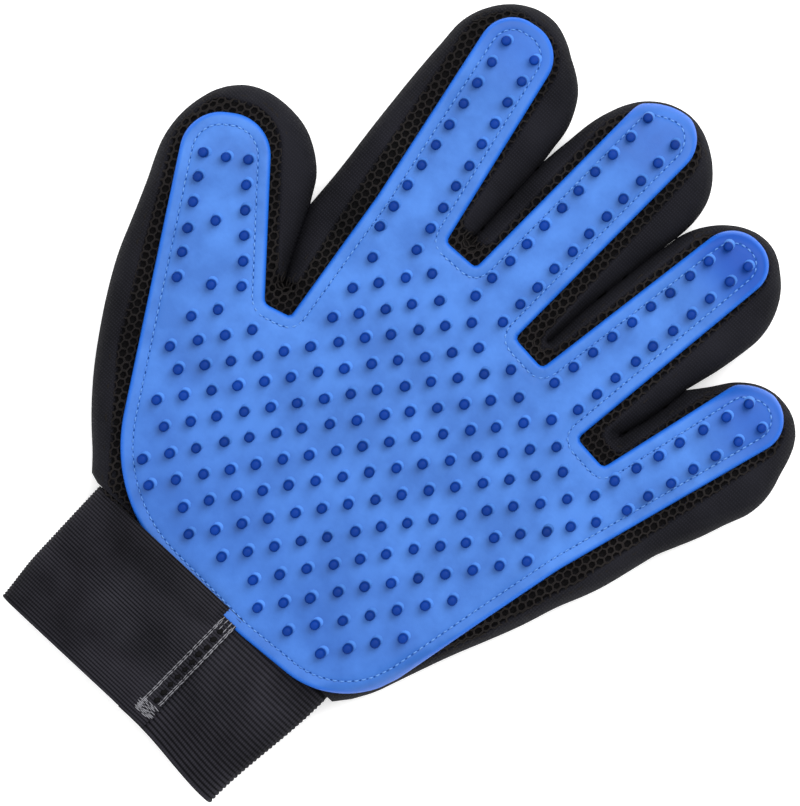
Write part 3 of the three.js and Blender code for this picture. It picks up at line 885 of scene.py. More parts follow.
back_flat, back_faces = filled(hand_side, 4.0, SIDE_ROWS)
back = np.column_stack([back_flat, back_height(back_flat)])
front_low, front_high = hand_side.min(0), hand_side.max(0)
lattice = honeycomb(front_low, front_high, 2.6)
lattice = lattice[inside(lattice, hand_side) & ~inside(lattice, seam_outline)]
lattice = lattice[(distance_to(lattice, hand_side) > 2.2) & (distance_to(lattice, seam_outline) > 2.2)]
side_rows = [inset_row(hand_side, distance, step) for distance, step in SIDE_ROWS[:3]]
lip_rows = [inset_row(seam_outline, distance, 1.3) for distance in LIP_ROWS]
near_seam = outset_row(seam_outline, 0.8, 1.5)
kept_rows = [row[~inside(row, seam_outline) & (distance_to(row, seam_outline) > 0.5)] for row in side_rows]
near_seam = near_seam[inside(near_seam, hand_side) & (distance_to(near_seam, hand_side) > 0.7)]
front_points = np.vstack([*kept_rows, near_seam, *lip_rows, lattice])
front_flat, front_faces = triangulate([hand_side, seam_outline], front_points)
front_depth = distance_to(front_flat, seam_outline) * np.where(inside(front_flat, seam_outline), 1, -1)
centres = front_flat[front_faces].mean(1)
keep = inside(centres, hand_side) & (front_depth[front_faces].max(1) < LIP_ROWS[-1] + 0.2)
front_faces = front_faces[keep]
front_z = top_height(front_flat) + LIP_RISE - LIP_DROP * smoothstep(front_depth, 0.05, 0.9)
front_z -= 0.3 * smoothstep(-front_depth, 0.8, 3.0)
front_z += 0.3 * waves(front_flat, 14, 17) * smoothstep(-front_depth, 1.0, 5.0)
front = np.column_stack([front_flat, front_z])
shell_points = np.vstack([back, front])
shell_faces = [*back_faces[:, ::-1], *(front_faces + len(back))]
shell = mesh_object("whole_knit", shell_points, shell_faces, KNIT)

welder = bmesh.new()
welder.from_mesh(shell.data)
bmesh.ops.remove_doubles(welder, verts=welder.verts, dist=0.02 * MM)
welder.to_mesh(shell.data)
welder.free()
knit_parts = cut_layer(shell, "knit", "_knit_shell")

# %% [markdown]
# ## Mesh panel
#
# Spacer mesh has a closed back and an open honeycomb face. The back is a plain dark sheet. The face shows
# only in the band between the pad and the seam, so real cells are placed just there, one small ring for
# each.

# %% Scattering shapes


def scatter_group(name):
    """Geometry nodes that put one shape on every point, tilted to the surface and turned about it."""
    group = bpy.data.node_groups.new(name, "GeometryNodeTree")
    sockets = [
        ("Points", "NodeSocketGeometry"), ("Shape", "NodeSocketObject"), ("Size", "NodeSocketFloat"),
        ("Size Variation", "NodeSocketFloat"), ("Seed", "NodeSocketInt"), ("Material", "NodeSocketMaterial"),
    ]
    for label, kind in sockets:
        group.interface.new_socket(label, in_out="INPUT", socket_type=kind)
    group.interface.new_socket("Geometry", in_out="OUTPUT", socket_type="NodeSocketGeometry")
    links = group.links
    inputs = add_node(group, "NodeGroupInput", "Inputs", (-900, 0))
    output = add_node(group, "NodeGroupOutput", "Result", (900, 0))
    shape = add_node(group, "GeometryNodeObjectInfo", "Shape", (-600, 200))
    up = add_node(
        group, "GeometryNodeInputNamedAttribute", "Surface normal", (-900, -300), data_type="FLOAT_VECTOR")
    up.inputs["Name"].default_value = "up"
    turn = add_node(group, "GeometryNodeInputNamedAttribute", "Turn", (-900, -500), data_type="FLOAT")
    turn.inputs["Name"].default_value = "turn"
    tilt = add_node(group, "FunctionNodeAlignRotationToVector", "Tilt to surface", (-600, -300), axis="Z")
    spin = add_node(group, "FunctionNodeAxisAngleToRotation", "Spin", (-600, -500))
    spin.inputs["Axis"].default_value = (0, 0, 1)
    both = add_node(
        group, "FunctionNodeRotateRotation", "Tilt and spin", (-350, -400), rotation_space="LOCAL")
    vary = add_node(group, "ShaderNodeMath", "Largest size", (-600, -50), operation="ADD")
    less = add_node(group, "ShaderNodeMath", "Smallest size", (-600, 50), operation="SUBTRACT")
    size = add_node(group, "FunctionNodeRandomValue", "Size of each", (-350, 0), data_type="FLOAT")
    place = add_node(group, "GeometryNodeInstanceOnPoints", "One on every point", (0, 100))
    real = add_node(group, "GeometryNodeRealizeInstances", "Real mesh", (300, 100))
    paint = add_node(group, "GeometryNodeSetMaterial", "Material", (600, 100))
    links.new(inputs.outputs["Shape"], shape.inputs["Object"])
    links.new(up.outputs["Attribute"], tilt.inputs["Vector"])
    links.new(turn.outputs["Attribute"], spin.inputs["Angle"])
    links.new(tilt.outputs["Rotation"], both.inputs["Rotation"])
    links.new(spin.outputs["Rotation"], both.inputs["Rotate By"])
    for node in (vary, less):
        links.new(inputs.outputs["Size"], node.inputs[0])
        links.new(inputs.outputs["Size Variation"], node.inputs[1])
    links.new(less.outputs["Value"], size.inputs["Min"])
    links.new(vary.outputs["Value"], size.inputs["Max"])
    links.new(inputs.outputs["Seed"], size.inputs["Seed"])
    links.new(inputs.outputs["Points"], place.inputs["Points"])
    links.new(shape.outputs["Geometry"], place.inputs["Instance"])
    links.new(both.outputs["Rotation"], place.inputs["Rotation"])
    links.new(size.outputs["Value"], place.inputs["Scale"])
    links.new(place.outputs["Instances"], real.inputs["Geometry"])
    links.new(real.outputs["Geometry"], paint.inputs["Geometry"])
    links.new(inputs.outputs["Material"], paint.inputs["Material"])
    links.new(paint.outputs["Geometry"], output.inputs["Geometry"])
    return group


SCATTER = scatter_group("one_shape_on_every_point")


def scatter(name, places, ups, turns, shape, material, variation=0.0, seed=1, size=1.0, shades=None):
    """Put a shape on every place and return the result as one plain mesh object."""
    mesh = bpy.data.meshes.new(name)
    mesh.from_pydata((np.asarray(places) * MM).tolist(), [], [])
    up = mesh.attributes.new("up", "FLOAT_VECTOR", "POINT")
    up.data.foreach_set("vector", np.asarray(ups, np.float32).ravel())
    turn = mesh.attributes.new("turn", "FLOAT", "POINT")
    turn.data.foreach_set("value", np.asarray(turns, np.float32))
    if shades is not None:
        shade = mesh.attributes.new("shade", "FLOAT", "POINT")
        shade.data.foreach_set("value", np.asarray(shades, np.float32))
    carrier = bpy.data.objects.new(name, mesh)
    bpy.context.scene.collection.objects.link(carrier)
    modifier = carrier.modifiers.new("scatter", "NODES")
    modifier.node_group = SCATTER
    values = {"Shape": shape, "Size": size, "Size Variation": variation, "Seed": seed, "Material": material}
    for item in SCATTER.interface.items_tree:
        if item.in_out == "INPUT" and item.name in values:
            modifier[item.identifier] = values[item.name]
    bpy.context.view_layer.update()
    evaluated = carrier.evaluated_get(bpy.context.evaluated_depsgraph_get())
    plain = bpy.data.meshes.new_from_object(evaluated)
    plain.polygons.foreach_set("use_smooth", np.ones(len(plain.polygons), bool))
    made = bpy.data.objects.new(name + "_all", plain)
    bpy.context.scene.collection.objects.link(made)
    bpy.data.objects.remove(carrier)
    return made


def tube_ring(radius, thickness, corners, sides):
    """A closed ring of a few flat-ended tubes, such as one cell of a net."""
    points, faces = [], []
    for i in range(corners):
        angle = 2 * math.pi * (i + 0.5) / corners
        for j in range(sides):
            around = 2 * math.pi * (j + 0.5) / sides
            out = radius + thickness / 2 * math.cos(around)
            points.append((out * math.cos(angle), out * math.sin(angle), thickness * 0.45 * math.sin(around)))
    for i in range(corners):
        for j in range(sides):
            a, b = i * sides + j, i * sides + (j + 1) % sides
            c, d = ((i + 1) % corners) * sides + (j + 1) % sides, ((i + 1) % corners) * sides + j
            faces.append((a, d, c, b))
    return points, faces


def lathe(profile, sides):
    """A solid of revolution from (radius, height) pairs, closed by a point or a face at the top."""
    points, faces = [], []
    for radius, height in profile:
        for i in range(sides):
            angle = 2 * math.pi * i / sides
            points.append((radius * math.cos(angle), radius * math.sin(angle), height))
    for j in range(len(profile) - 1):
        for i in range(sides):
            a, b = j * sides + i, j * sides + (i + 1) % sides
            faces.append((a, b, b + sides, a + sides))
    faces.append(tuple((len(profile) - 1) * sides + i for i in range(sides)))
    return points, faces


# %% Mesh panel
MESH_PITCH = 2.15
MESH_STRETCH = 1.18  # the cells are a little longer than wide
YARN = 0.62
PANEL_DEPTH = 1.3

lining_flat, lining_faces = filled(seam_outline, 5.0, [(1.0, 1.6), (3.0, 2.4)])
lining_z = top_height(lining_flat) - PANEL_DEPTH
lining = mesh_object("whole_lining", np.column_stack([lining_flat, lining_z]), lining_faces, MESH_BACK)
lining_parts = cut_layer(lining, "mesh_lining", "_mesh_panel")

cells = honeycomb(seam_outline.min(0), seam_outline.max(0), MESH_PITCH)
cells[:, 1] *= MESH_STRETCH
cells = cells[inside(cells, seam_outline) | (distance_to(cells, seam_outline) < 0.3)]
under_pad = inside(cells, pad_outline)
cells = cells[~under_pad | (distance_to(cells, pad_outline) < 1.6)]
ring_points, ring_faces = tube_ring(MESH_PITCH / math.sqrt(3), YARN, 6, 4)
ring_points = [(x, y * MESH_STRETCH, z) for x, y, z in ring_points]
cell_shape = mesh_object("cell_shape", ring_points, ring_faces, NET_YARN)
cell_places = np.column_stack([cells, top_height(cells) - 0.2])
net = scatter(
    "whole_net", cell_places, normals_at(cells, top_height), np.zeros(len(cells)), cell_shape, NET_YARN,
    variation=0.12, seed=6)
net_parts = cut_layer(net, "mesh_net")
bpy.data.objects.remove(cell_shape)
print("mesh cells:", len(cells))

# %% [markdown]
# ## Rubber pad
#
# The pad is one moulded sheet. Its rim is rolled, a shallow groove runs a few millimetres inside it for the
# stitches, and the edge turns down to the mesh. Rows of points follow the rim closely so that all of this
# is real shape and catches the light.

# %% Pad
STITCH_INSET = 3.5
PAD_ROWS = [
    (0.15, 1.0), (0.4, 1.0), (0.8, 1.1), (1.3, 1.2), (2.0, 1.3), (2.8, 1.3), (3.2, 1.3), (3.5, 1.3),
    (3.8, 1.3), (4.4, 1.4), (5.6, 1.8),
]


def pad_height(points):
    """Height of the pad's face: the mesh below, the rolled rim and the stitch groove."""
    edge = distance_to(points, pad_outline) * np.where(inside(points, pad_outline), 1, -1)
    edge = np.maximum(edge, 0)
    rolled = np.sqrt(1 - (1 - np.clip(edge / 0.9, 0, 1)) ** 2) - 1
    bead = 0.12 * np.exp(-(((edge - 1.2) / 0.6) ** 2))
    groove = -0.22 * np.exp(-(((edge - STITCH_INSET) / 0.38) ** 2))
    return top_height(points) + PAD_RISE + 1.1 * rolled + bead + groove


# How strongly each fingertip is painted with shade, for the pad bending away from the light there.
TIP_SHADE = {"thumb": 0.0, "index": 0.45, "middle": 0.35, "ring": 1.0, "little": 0.7}


def tip_shade_share(points):
    """How much painted shade each point gets: near the fingertips, where the pad bends away from the light,
    plus a share that grows towards the wrist.
    """
    share = np.zeros(len(points))
    for k, name in enumerate(FINGER_NAMES):
        u, _ = finger_uv(points, FINGERS[name])
        reach = FINGER_REACH[name]
        shade_here = TIP_SHADE[name] * smoothstep(u, reach - 30, reach - 10)
        share = np.where(inside(points[:, :2], FINGER_RINGS[k]), shade_here, share)
    return share + 0.22 * smoothstep(-points[:, 1], 5, 65)


pad_flat, pad_faces = filled(pad_outline, 2.4, PAD_ROWS)
pad_edge = distance_to(pad_flat, pad_outline)
pad_points = np.column_stack([pad_flat, pad_height(pad_flat)])
rim_order = {tuple(np.round(p, 3)): i for i, p in enumerate(pad_flat)}
rim_loop = [rim_order[tuple(np.round(p, 3))] for p in pad_outline if tuple(np.round(p, 3)) in rim_order]
foot = pad_points[rim_loop] - [0, 0, PAD_RISE - 0.1]
first_foot = len(pad_points)
wall = []
for i in range(len(rim_loop)):
    j = (i + 1) % len(rim_loop)
    wall.append((rim_loop[i], rim_loop[j], first_foot + j, first_foot + i))
pad_edges = np.concatenate([pad_edge, np.zeros(len(foot))])
pad_all = np.vstack([pad_points, foot])
pad = mesh_object(
    "whole_pad", pad_all, [*pad_faces, *wall], PAD_RUBBER, {"edge": pad_edges, "tip": tip_shade_share(pad_all)})
checker = bmesh.new()
checker.from_mesh(pad.data)
bmesh.ops.recalc_face_normals(checker, faces=checker.faces)
if sum(face.normal.z * face.calc_area() for face in checker.faces) < 0:
    bmesh.ops.reverse_faces(checker, faces=checker.faces)
checker.to_mesh(pad.data)
checker.free()
cut_layer(pad, "rubber_sheet", "_rubber_pad")

# %% [markdown]
# ## Nubs
#
# The nubs stand in rows. Two rows run up each finger and slightly bowed rows cross the palm, so a start, an
# end, a count and a bow describe each row. A nub is a short rubber peg with a foot that runs out to the
# fingertips.

# %% Nubs
NUB_ROWS = [
    (-44.1, 95.9, -34.5, 34.1, 10, 0), (-34.5, 97.6, -22.5, 36.5, 10, 0),
    (-0.2, 107.1, -1.6, 38.1, 11, 0), (10.4, 107, 9.1, 38, 11, 0),
    (40.5, 96.5, 31, 35.5, 10, 0), (48.5, 96.1, 41, 34.5, 10, 0),
    (74.8, 67.8, 61.9, 26.8, 7, 0), (81.9, 65.5, 70.1, 23.1, 7, 0),
    (-84.8, 15.6, -66.4, -14.9, 6, 0), (-74.1, 22.6, -51.4, -4.5, 6, 0),
    (-79.1, 18.9, -69.1, 4, 2, 0), (66.2, 14.8, 61.9, 9, 2, 0),
    (-57.8, -9.8, -30, 26.5, 2, 0), (-56, -20.1, -51.6, -13.6, 2, 0), (-28.4, 16.4, -14.6, 34.4, 4, 0),
    (-54.6, -30.2, -41, -11.3, 4, 0), (-26.8, 6.6, -8.4, 30.2, 5, 0), (-48.4, -33.6, 2.6, 32.1, 12, 0.4),
    (-46.9, -43.8, 9, 28, 13, 0.5), (-40.5, -47.8, 19.9, 29.7, 14, 0.6), (-38.6, -58.4, 26.3, 25.5, 15, 1.1),
    (-32.1, -62.7, 37.3, 27.1, 16, 1.3), (-21.3, -60.6, 43.6, 22.9, 15, 1.2),
    (-14.9, -65.1, 49.8, 18.7, 15, 1.1), (-3.9, -63.3, 60.6, 19.9, 15, 0.8),
    (7, -62.1, 57.8, 3.8, 12, 0.8), (13.1, -67.2, 59.5, -6.4, 11, 0.6),
    (23.8, -66, 51.8, -28.6, 7, 0.2), (34.7, -64.4, 48.8, -45.8, 4, 0.1),
]
NUB_HEIGHT = 3.4
NUB_FOOT = 1.15
NUB_SIDES = 14
NUB_WANDER = 0.12  # how far a nub may stand off its row
NUB_PROFILE = [
    (1.75, -0.25), (1.5, 0.15), (1.42, 0.7), (1.42, 1.4), (1.4, 2.6), (1.22, 3.15), (0.75, NUB_HEIGHT),
]


def nub_row(x0, y0, x1, y1, count, bow):
    """Evenly spaced nubs from one end of a row to the other, bowed to the left of the way they run."""
    t = np.linspace(0, 1, count)[:, None]
    run = np.array([x1 - x0, y1 - y0])
    left = np.array([-run[1], run[0]]) / np.linalg.norm(run)
    return np.array([x0, y0]) + t * run + 4 * t * (1 - t) * bow * left


nub_spots = np.vstack([nub_row(*row) for row in NUB_ROWS])
rng = np.random.default_rng(11)
nub_spots += rng.normal(0, NUB_WANDER, nub_spots.shape)
nub_points, nub_faces = lathe(NUB_PROFILE, NUB_SIDES)
nub_points = [(x, y + NUB_FOOT * (1 - min(max(z, 0) / 1.6, 1)), z) for x, y, z in nub_points]
# The level from foot to tip carries the nub's painted shade.
nub_shade_levels = [max(0.0, z) / NUB_HEIGHT for _, _, z in nub_points]
nub_shape = mesh_object("nub_shape", nub_points, nub_faces, NUB_RUBBER, {"level": nub_shade_levels})
nubs = scatter(
    "whole_nubs", np.column_stack([nub_spots, pad_height(nub_spots)]), normals_at(nub_spots, pad_height),
    rng.normal(0, 0.15, len(nub_spots)), nub_shape, NUB_RUBBER, variation=0.03, seed=4,
    shades=rng.normal(1, 0.08, len(nub_spots)))
cut_layer(nubs, "nubs")
bpy.data.objects.remove(nub_shape)
print("nubs:", len(nub_spots))

# %% [markdown]
# ## Stitches
#
# One line of stitches holds the pad on the glove. Each stitch is a short, slightly bowed thread between two
# needle holes, and each hole is a small flat disc painted dark blue for the shade inside the hole.

# %% Stitches
STITCH_PITCH = 2.05


def inset_line(outline, distance):
    """The outline moved inwards in its own order, without the points a tight corner pushes across."""
    ahead = np.roll(outline, -1, axis=0) - np.roll(outline, 1, axis=0)
    ahead /= np.maximum(np.linalg.norm(ahead, axis=1), 1e-9)[:, None]
    turn = np.column_stack([ahead[:, 1], -ahead[:, 0]])
    if not inside(outline[:1] + turn[:1] * 0.5, outline)[0]:
        turn = -turn
    moved = outline + turn * distance
    clear = (distance_to(moved, outline) > distance - 0.12) & inside(moved, outline)
    return moved[clear]


def stitch_shape(name, length, width, material):
    """A bowed thread with rounded ends, lying along X."""
    points, faces = [], []
    sections = [
        (-0.5, 0.25, -0.25), (-0.3, 0.85, 0.05), (0.0, 1.0, 0.16), (0.3, 0.85, 0.05), (0.5, 0.25, -0.25),
    ]
    for along, fat, lift in sections:
        for k in range(6):
            around = 2 * math.pi * k / 6
            y = width / 2 * fat * math.cos(around)
            points.append((along * length, y, lift + width / 2 * fat * math.sin(around)))
    for i in range(len(sections) - 1):
        for k in range(6):
            a, b = i * 6 + k, i * 6 + (k + 1) % 6
            faces.append((a, b, b + 6, a + 6))
    return mesh_object(name, points, faces, material)


def directions(line, closed=True):
    ahead = np.roll(line, -1, axis=0) - line
    if not closed:
        ahead[-1] = ahead[-2]
    return np.arctan2(ahead[:, 1], ahead[:, 0])


seam_line = evenly(inset_line(pad_outline, STITCH_INSET), STITCH_PITCH, closed=True)
stitch_turns = directions(seam_line) + rng.normal(0, 0.07, len(seam_line))
middles = (seam_line + np.roll(seam_line, -1, axis=0)) / 2
pad_stitch = stitch_shape("stitch_shape", 1.3, 0.42, BLUE_THREAD)
stitches = scatter(
    "whole_stitches", np.column_stack([middles, pad_height(middles) + 0.1]), normals_at(middles, pad_height),
    stitch_turns, pad_stitch, BLUE_THREAD, variation=0.1, seed=7)
cut_layer(stitches, "stitches")
# Each needle hole is a thin dark disc, painted shade for the hole.
hole_shape = mesh_object("hole_shape", *lathe([(0.36, 0.0), (0.25, 0.05)], 8), NEEDLE_HOLE_SHADE)
holes = scatter(
    "whole_holes", np.column_stack([seam_line, pad_height(seam_line) + 0.02]),
    normals_at(seam_line, pad_height), stitch_turns, hole_shape, NEEDLE_HOLE_SHADE, variation=0.25, seed=9)
cut_layer(holes, "needle_holes")
bpy.data.objects.remove(pad_stitch)
bpy.data.objects.remove(hole_shape)
print("stitches:", len(seam_line))

# %% [markdown]
# ## Cuff
#
# Two pieces of ribbed elastic make the cuff. Each is a thick band bent round a flattened loop. The ribs are
# real ridges across the height of the band, coarser on the right-hand piece, and the grooves between them are
# painted darker as shade.

# %% Elastic bands
LEFT_RIB = 0.95
RIGHT_RIB = 1.4


def flat_loop(points, radius, step):
    """An open path in the X-Z plane from (x, z) points, rounded at its inner corners and sampled evenly."""
    path = [np.array(points[0], float)]
    for before, here, after in zip(points, points[1:], points[2:]):
        before, here, after = (np.array(p, float) for p in (before, here, after))
        into, out = here - before, after - here
        reach = min(radius, np.linalg.norm(into) / 2, np.linalg.norm(out) / 2)
        start = here - into / np.linalg.norm(into) * reach
        end = here + out / np.linalg.norm(out) * reach
        for t in np.linspace(0, 1, 9):
            path.append((1 - t) ** 2 * start + 2 * t * (1 - t) * here + t * t * end)
    path.append(np.array(points[-1], float))
    return evenly(np.array(path), step)


def band(name, path, y_low, y_high, thickness, rib, material, rib_height=0.4, lift=None, end_at=None,
         shape=None):
    """A ribbed band along a path. The outside of the band is on the path's left."""
    count = int((y_high - y_low) / rib) * 5
    heights = np.linspace(y_low, y_high, count + 1)
    ridge = rib_height * (np.abs(np.sin(np.pi * (heights - y_low) / rib)) ** 0.6 - 1)
    ahead = np.gradient(path, axis=0)
    ahead /= np.linalg.norm(ahead, axis=1)[:, None]
    left = np.column_stack([-ahead[:, 1], ahead[:, 0]])
    grid = []
    for face, side in ((0, 1), (1, -1)):
        for y, relief in zip(heights, ridge):
            level = path + left * ((thickness / 2 + relief) * side - thickness / 2)
            if lift is not None:
                level = level + np.column_stack([np.zeros(len(path)), lift(path[:, 0], y, path[:, 1])])
            if end_at is not None:
                scale = (end_at(y) - path[0, 0]) / (path[-1, 0] - path[0, 0])
                level[:, 0] = path[0, 0] + (level[:, 0] - path[0, 0]) * scale
            grid.append(np.column_stack([level[:, 0], np.full(len(path), y), level[:, 1]]))
    points = np.vstack(grid)
    if shape is not None:
        points = shape(points)
    rows, columns = len(heights), len(path)
    # rib is 0 in a groove and 1 on a ridge; the elastic's material uses it to paint shade into the grooves.
    groove_shade = np.tile(np.repeat(1 + ridge / max(rib_height, 0.01), columns), 2)
    inner = rows * columns
    faces = []
    for j in range(rows - 1):
        for i in range(columns - 1):
            a = j * columns + i
            faces.append((a, a + 1, a + columns + 1, a + columns))
            faces.append((inner + a, inner + a + columns, inner + a + columns + 1, inner + a + 1))
    for i in range(columns - 1):
        last = (rows - 1) * columns + i
        faces.append((i, inner + i, inner + i + 1, i + 1))
        faces.append((last, last + 1, inner + last + 1, inner + last))
    for j in range(rows - 1):
        a, b = j * columns, (j + 1) * columns
        faces.append((a, b, inner + b, inner + a))
        faces.append((a + columns - 1, inner + a + columns - 1, inner + b + columns - 1, b + columns - 1))
    made = mesh_object(name, points, faces, material, {"rib": groove_shade})
    flipper = bmesh.new()
    flipper.from_mesh(made.data)
    bmesh.ops.recalc_face_normals(flipper, faces=flipper.faces)
    flipper.to_mesh(made.data)
    flipper.free()
    return made


left_low, left_high = CUFF_LEFT
right_low, right_high = CUFF_RIGHT
ELASTIC_THICK = 1.5
LEFT_TOP_END = 12.6
LEFT_HEM_Y = -72.4
RIGHT_HEM_Y = -72.8
FOLD_X = JOINTS["strap_peel"]["pos_m"][0] / MM
CUFF_Z = left_high[2]


def left_lift(x, y, z):
    """The left elastic lies over the right one at the join and over the pad's lower edge."""
    over_join = 1.6 * smoothstep(x, 0, 7)
    over_pad = 4.1 * smoothstep(y, -84, -75) * smoothstep(x, -39, -24) * (1 - smoothstep(x, 5, 10))
    return np.maximum(over_join, over_pad) * smoothstep(z, 10, 16)


def left_shape(points):
    """The left elastic narrows a little to its free end."""
    narrower = (1.1 * smoothstep(-points[:, 1], 98, 115) - 0.35) * smoothstep(-points[:, 0], 0, 40)
    return points + np.column_stack([narrower, np.zeros(len(points)), np.zeros(len(points))])


def right_shape(points):
    """The right elastic widens to the wrist, and its free edge slants down to its outer side."""
    x, y, z = points.T
    top = smoothstep(y, right_low[1], -72)
    wider = (-2.6 + 3.9 * top) * smoothstep(x, 10, 44)
    shorter = 2.6 * (1 - smoothstep(x, 8, 42)) * (1 - top)
    return np.column_stack([x + wider, y + shorter, z])


left_path = flat_loop(
    [(FOLD_X - 0.4, 0.35), (left_low[0], 0.35), (left_low[0], CUFF_Z), (LEFT_TOP_END, CUFF_Z)], 9.2, 1.2)
left_band = band(
    "cuff_left", left_path, left_low[1], LEFT_HEM_Y, ELASTIC_THICK, LEFT_RIB, ELASTIC, lift=left_lift,
    shape=left_shape)
right_path = flat_loop(
    [(3.5, CUFF_Z), (right_high[0], CUFF_Z), (right_high[0], right_low[2]), (-3.8, right_low[2])], 7, 1.2)
right_band = band(
    "cuff_right", right_path, right_low[1], RIGHT_HEM_Y, ELASTIC_THICK, RIGHT_RIB, ELASTIC, rib_height=0.5,
    shape=right_shape)
for piece, node in ((left_band, "cuff_elastic_left"), (right_band, "cuff_elastic_right")):
    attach(piece, "palm")
    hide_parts(node)

# %% [markdown]
# The left elastic's loose end is the strap. It folds back across the wrist and its hooks grip the loop
# patch on the right elastic, so it has a hinge of its own where it leaves the cuff.

# %% Strap, patches and binding
strap_low, strap_high = box_mm("strap_tab")
STRAP_CORNER = 8


def strap_end(y):
    """Where the strap ends at one height: straight, with round corners."""
    from_edge = min(y - strap_low[1], strap_high[1] - y)
    short = STRAP_CORNER - math.sqrt(max(STRAP_CORNER**2 - max(STRAP_CORNER - from_edge, 0) ** 2, 0))
    return strap_high[0] - short


strap_path = flat_loop([(FOLD_X - 0.4, 1.65), (10, 1.65), (strap_high[0], 1.65)], 1, 1.4)
strap = band(
    "strap", strap_path, strap_low[1], strap_high[1], ELASTIC_THICK, LEFT_RIB, ELASTIC, end_at=strap_end)
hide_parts("strap_tab")
fold = ((FOLD_X - 0.4) * MM, 0, 0)
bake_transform(strap, "palm", "strap", fold, (fold[0] + 0.003, 0, 0))


def patch(name, node, material, tuft, pitch, body, seed, upwards):
    """A hook or loop patch: a thin cloth base with small tufts over it."""
    low, high = box_mm(node)
    base_low, base_high = (low[2], low[2] + 0.35) if upwards else (high[2] - 0.35, high[2])
    corners = [(x, y, z) for z in (base_low, base_high) for y in (low[1], high[1]) for x in (low[0], high[0])]
    sides = [(0, 2, 3, 1), (4, 5, 7, 6), (0, 1, 5, 4), (2, 6, 7, 3), (0, 4, 6, 2), (1, 3, 7, 5)]
    base = mesh_object(name, corners, sides, material)
    base.data.polygons.foreach_set("use_smooth", np.zeros(6, bool))
    spots = honeycomb(low[:2] + 0.8, high[:2] - 0.8, pitch)
    patch_rng = np.random.default_rng(seed)
    spots = spots + patch_rng.uniform(-0.2, 0.2, spots.shape)
    at = base_high if upwards else base_low
    facing = [0, 0, 1 if upwards else -1]
    tufts = scatter(
        name + "_pile", np.column_stack([spots, np.full(len(spots), at)]), np.tile(facing, (len(spots), 1)),
        patch_rng.uniform(0, 6, len(spots)), tuft, material, variation=0.15, seed=seed)
    tufts.name = name + "_pile"
    for piece in (base, tufts):
        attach(piece, body)
    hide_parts(node)


loop_tuft = mesh_object("loop_tuft", *tube_ring(0.3, 0.16, 6, 3), LOOP)
hook_tuft = mesh_object("hook_tuft", *lathe([(0.2, 0), (0.14, 0.4), (0.3, 0.55), (0.12, 0.65)], 6), HOOK)
patch("loop_face", "loop_patch", LOOP, loop_tuft, 1.0, "palm", 21, upwards=False)
patch("hook_face", "hook_patch", HOOK, hook_tuft, 1.3, "strap", 22, upwards=True)
bpy.data.objects.remove(loop_tuft)
bpy.data.objects.remove(hook_tuft)

tape_low, tape_high = box_mm("wrist_seam_tape")
TAPE_TUCK = 1.2
TAPE_Y = (-74.6, -71.8)
tape_left, tape_right = tape_low[0] + TAPE_TUCK, tape_high[0] - TAPE_TUCK
tape_path = flat_loop(
    [(0, tape_low[2]), (tape_left, tape_low[2]), (tape_left, tape_high[2]), (tape_right, tape_high[2]),
     (tape_right, tape_low[2]), (0.5, tape_low[2])], 8.4, 1.4)
tape = band("binding", tape_path, *TAPE_Y, 1.2, 1.0, TAPE, rib_height=0.08)
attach(tape, "palm")
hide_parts("wrist_seam_tape")

# %% [markdown]
# The two elastics are joined by a flat seam in pale thread: a fine double line of stitches on either side,
# dark gaps between them where the seam gapes, and a worn bar tack at the lower end.

# %% Join seam
seam_rng = np.random.default_rng(5)
grey_stitch = stitch_shape("grey_stitch", 2.0, 0.32, GREY_THREAD)


def run_of_stitches(x0, y0, x1, y1, pitch):
    """Places and directions of stitches one after the other along a line."""
    length = math.hypot(x1 - x0, y1 - y0)
    count = max(1, int(length / pitch))
    t = (np.arange(count) + 0.5) / count
    return [(x0 + (x1 - x0) * k, y0 + (y1 - y0) * k, math.atan2(y1 - y0, x1 - x0)) for k in t]


SEAM_LEFT = (8.0, 7.1)
SEAM_RIGHT = (12.4, 12.0)
threads = []
for shift in (0.0, 0.55):
    threads += run_of_stitches(SEAM_LEFT[0] + shift, -76, SEAM_LEFT[1] + shift, -110, 1.95)
    threads += run_of_stitches(SEAM_RIGHT[0] - shift, -76, SEAM_RIGHT[1] - shift, -106, 1.95)
for x in (8.2, 9.5, 10.9, 12.2):
    threads += run_of_stitches(x, -74.8, x, -79.2, 2.1)
for y in np.arange(-107, -111, -0.4):
    tack_left = 6.6 + seam_rng.uniform(-0.5, 0.5)
    tack_right = 12.4 + seam_rng.uniform(-0.8, 0.6)
    threads += run_of_stitches(tack_left, y, tack_right, y, 1.9)
threads = np.array(threads)
thread_z = CUFF_Z + left_lift(threads[:, 0], threads[:, 1], np.full(len(threads), 18.0)) + 0.15
join = scatter(
    "join_threads", np.column_stack([threads[:, :2], thread_z]), np.tile([0, 0, 1], (len(threads), 1)),
    threads[:, 2] + seam_rng.normal(0, 0.08, len(threads)), grey_stitch, GREY_THREAD, variation=0.12, seed=31)
gap_y = np.arange(-79, -106, -2.9)
gap_x = 10.2 + seam_rng.normal(0, 0.15, len(gap_y))
gap_z = CUFF_Z + left_lift(gap_x, gap_y, np.full(len(gap_y), 18.0)) + 0.12
seam_gap = stitch_shape("seam_gap", 1.9, 1.4, MESH_BACK)
join_gaps = scatter(
    "join_gaps", np.column_stack([gap_x, gap_y, gap_z]), np.tile([0, 0, 1], (len(gap_y), 1)),
    seam_rng.normal(1.1, 0.15, len(gap_y)), seam_gap, MESH_BACK, variation=0.15, seed=32)
for piece in (join, join_gaps):
    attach(piece, "palm")
    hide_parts("cuff_join_seam")
for shape in (grey_stitch, seam_gap):
    bpy.data.objects.remove(shape)

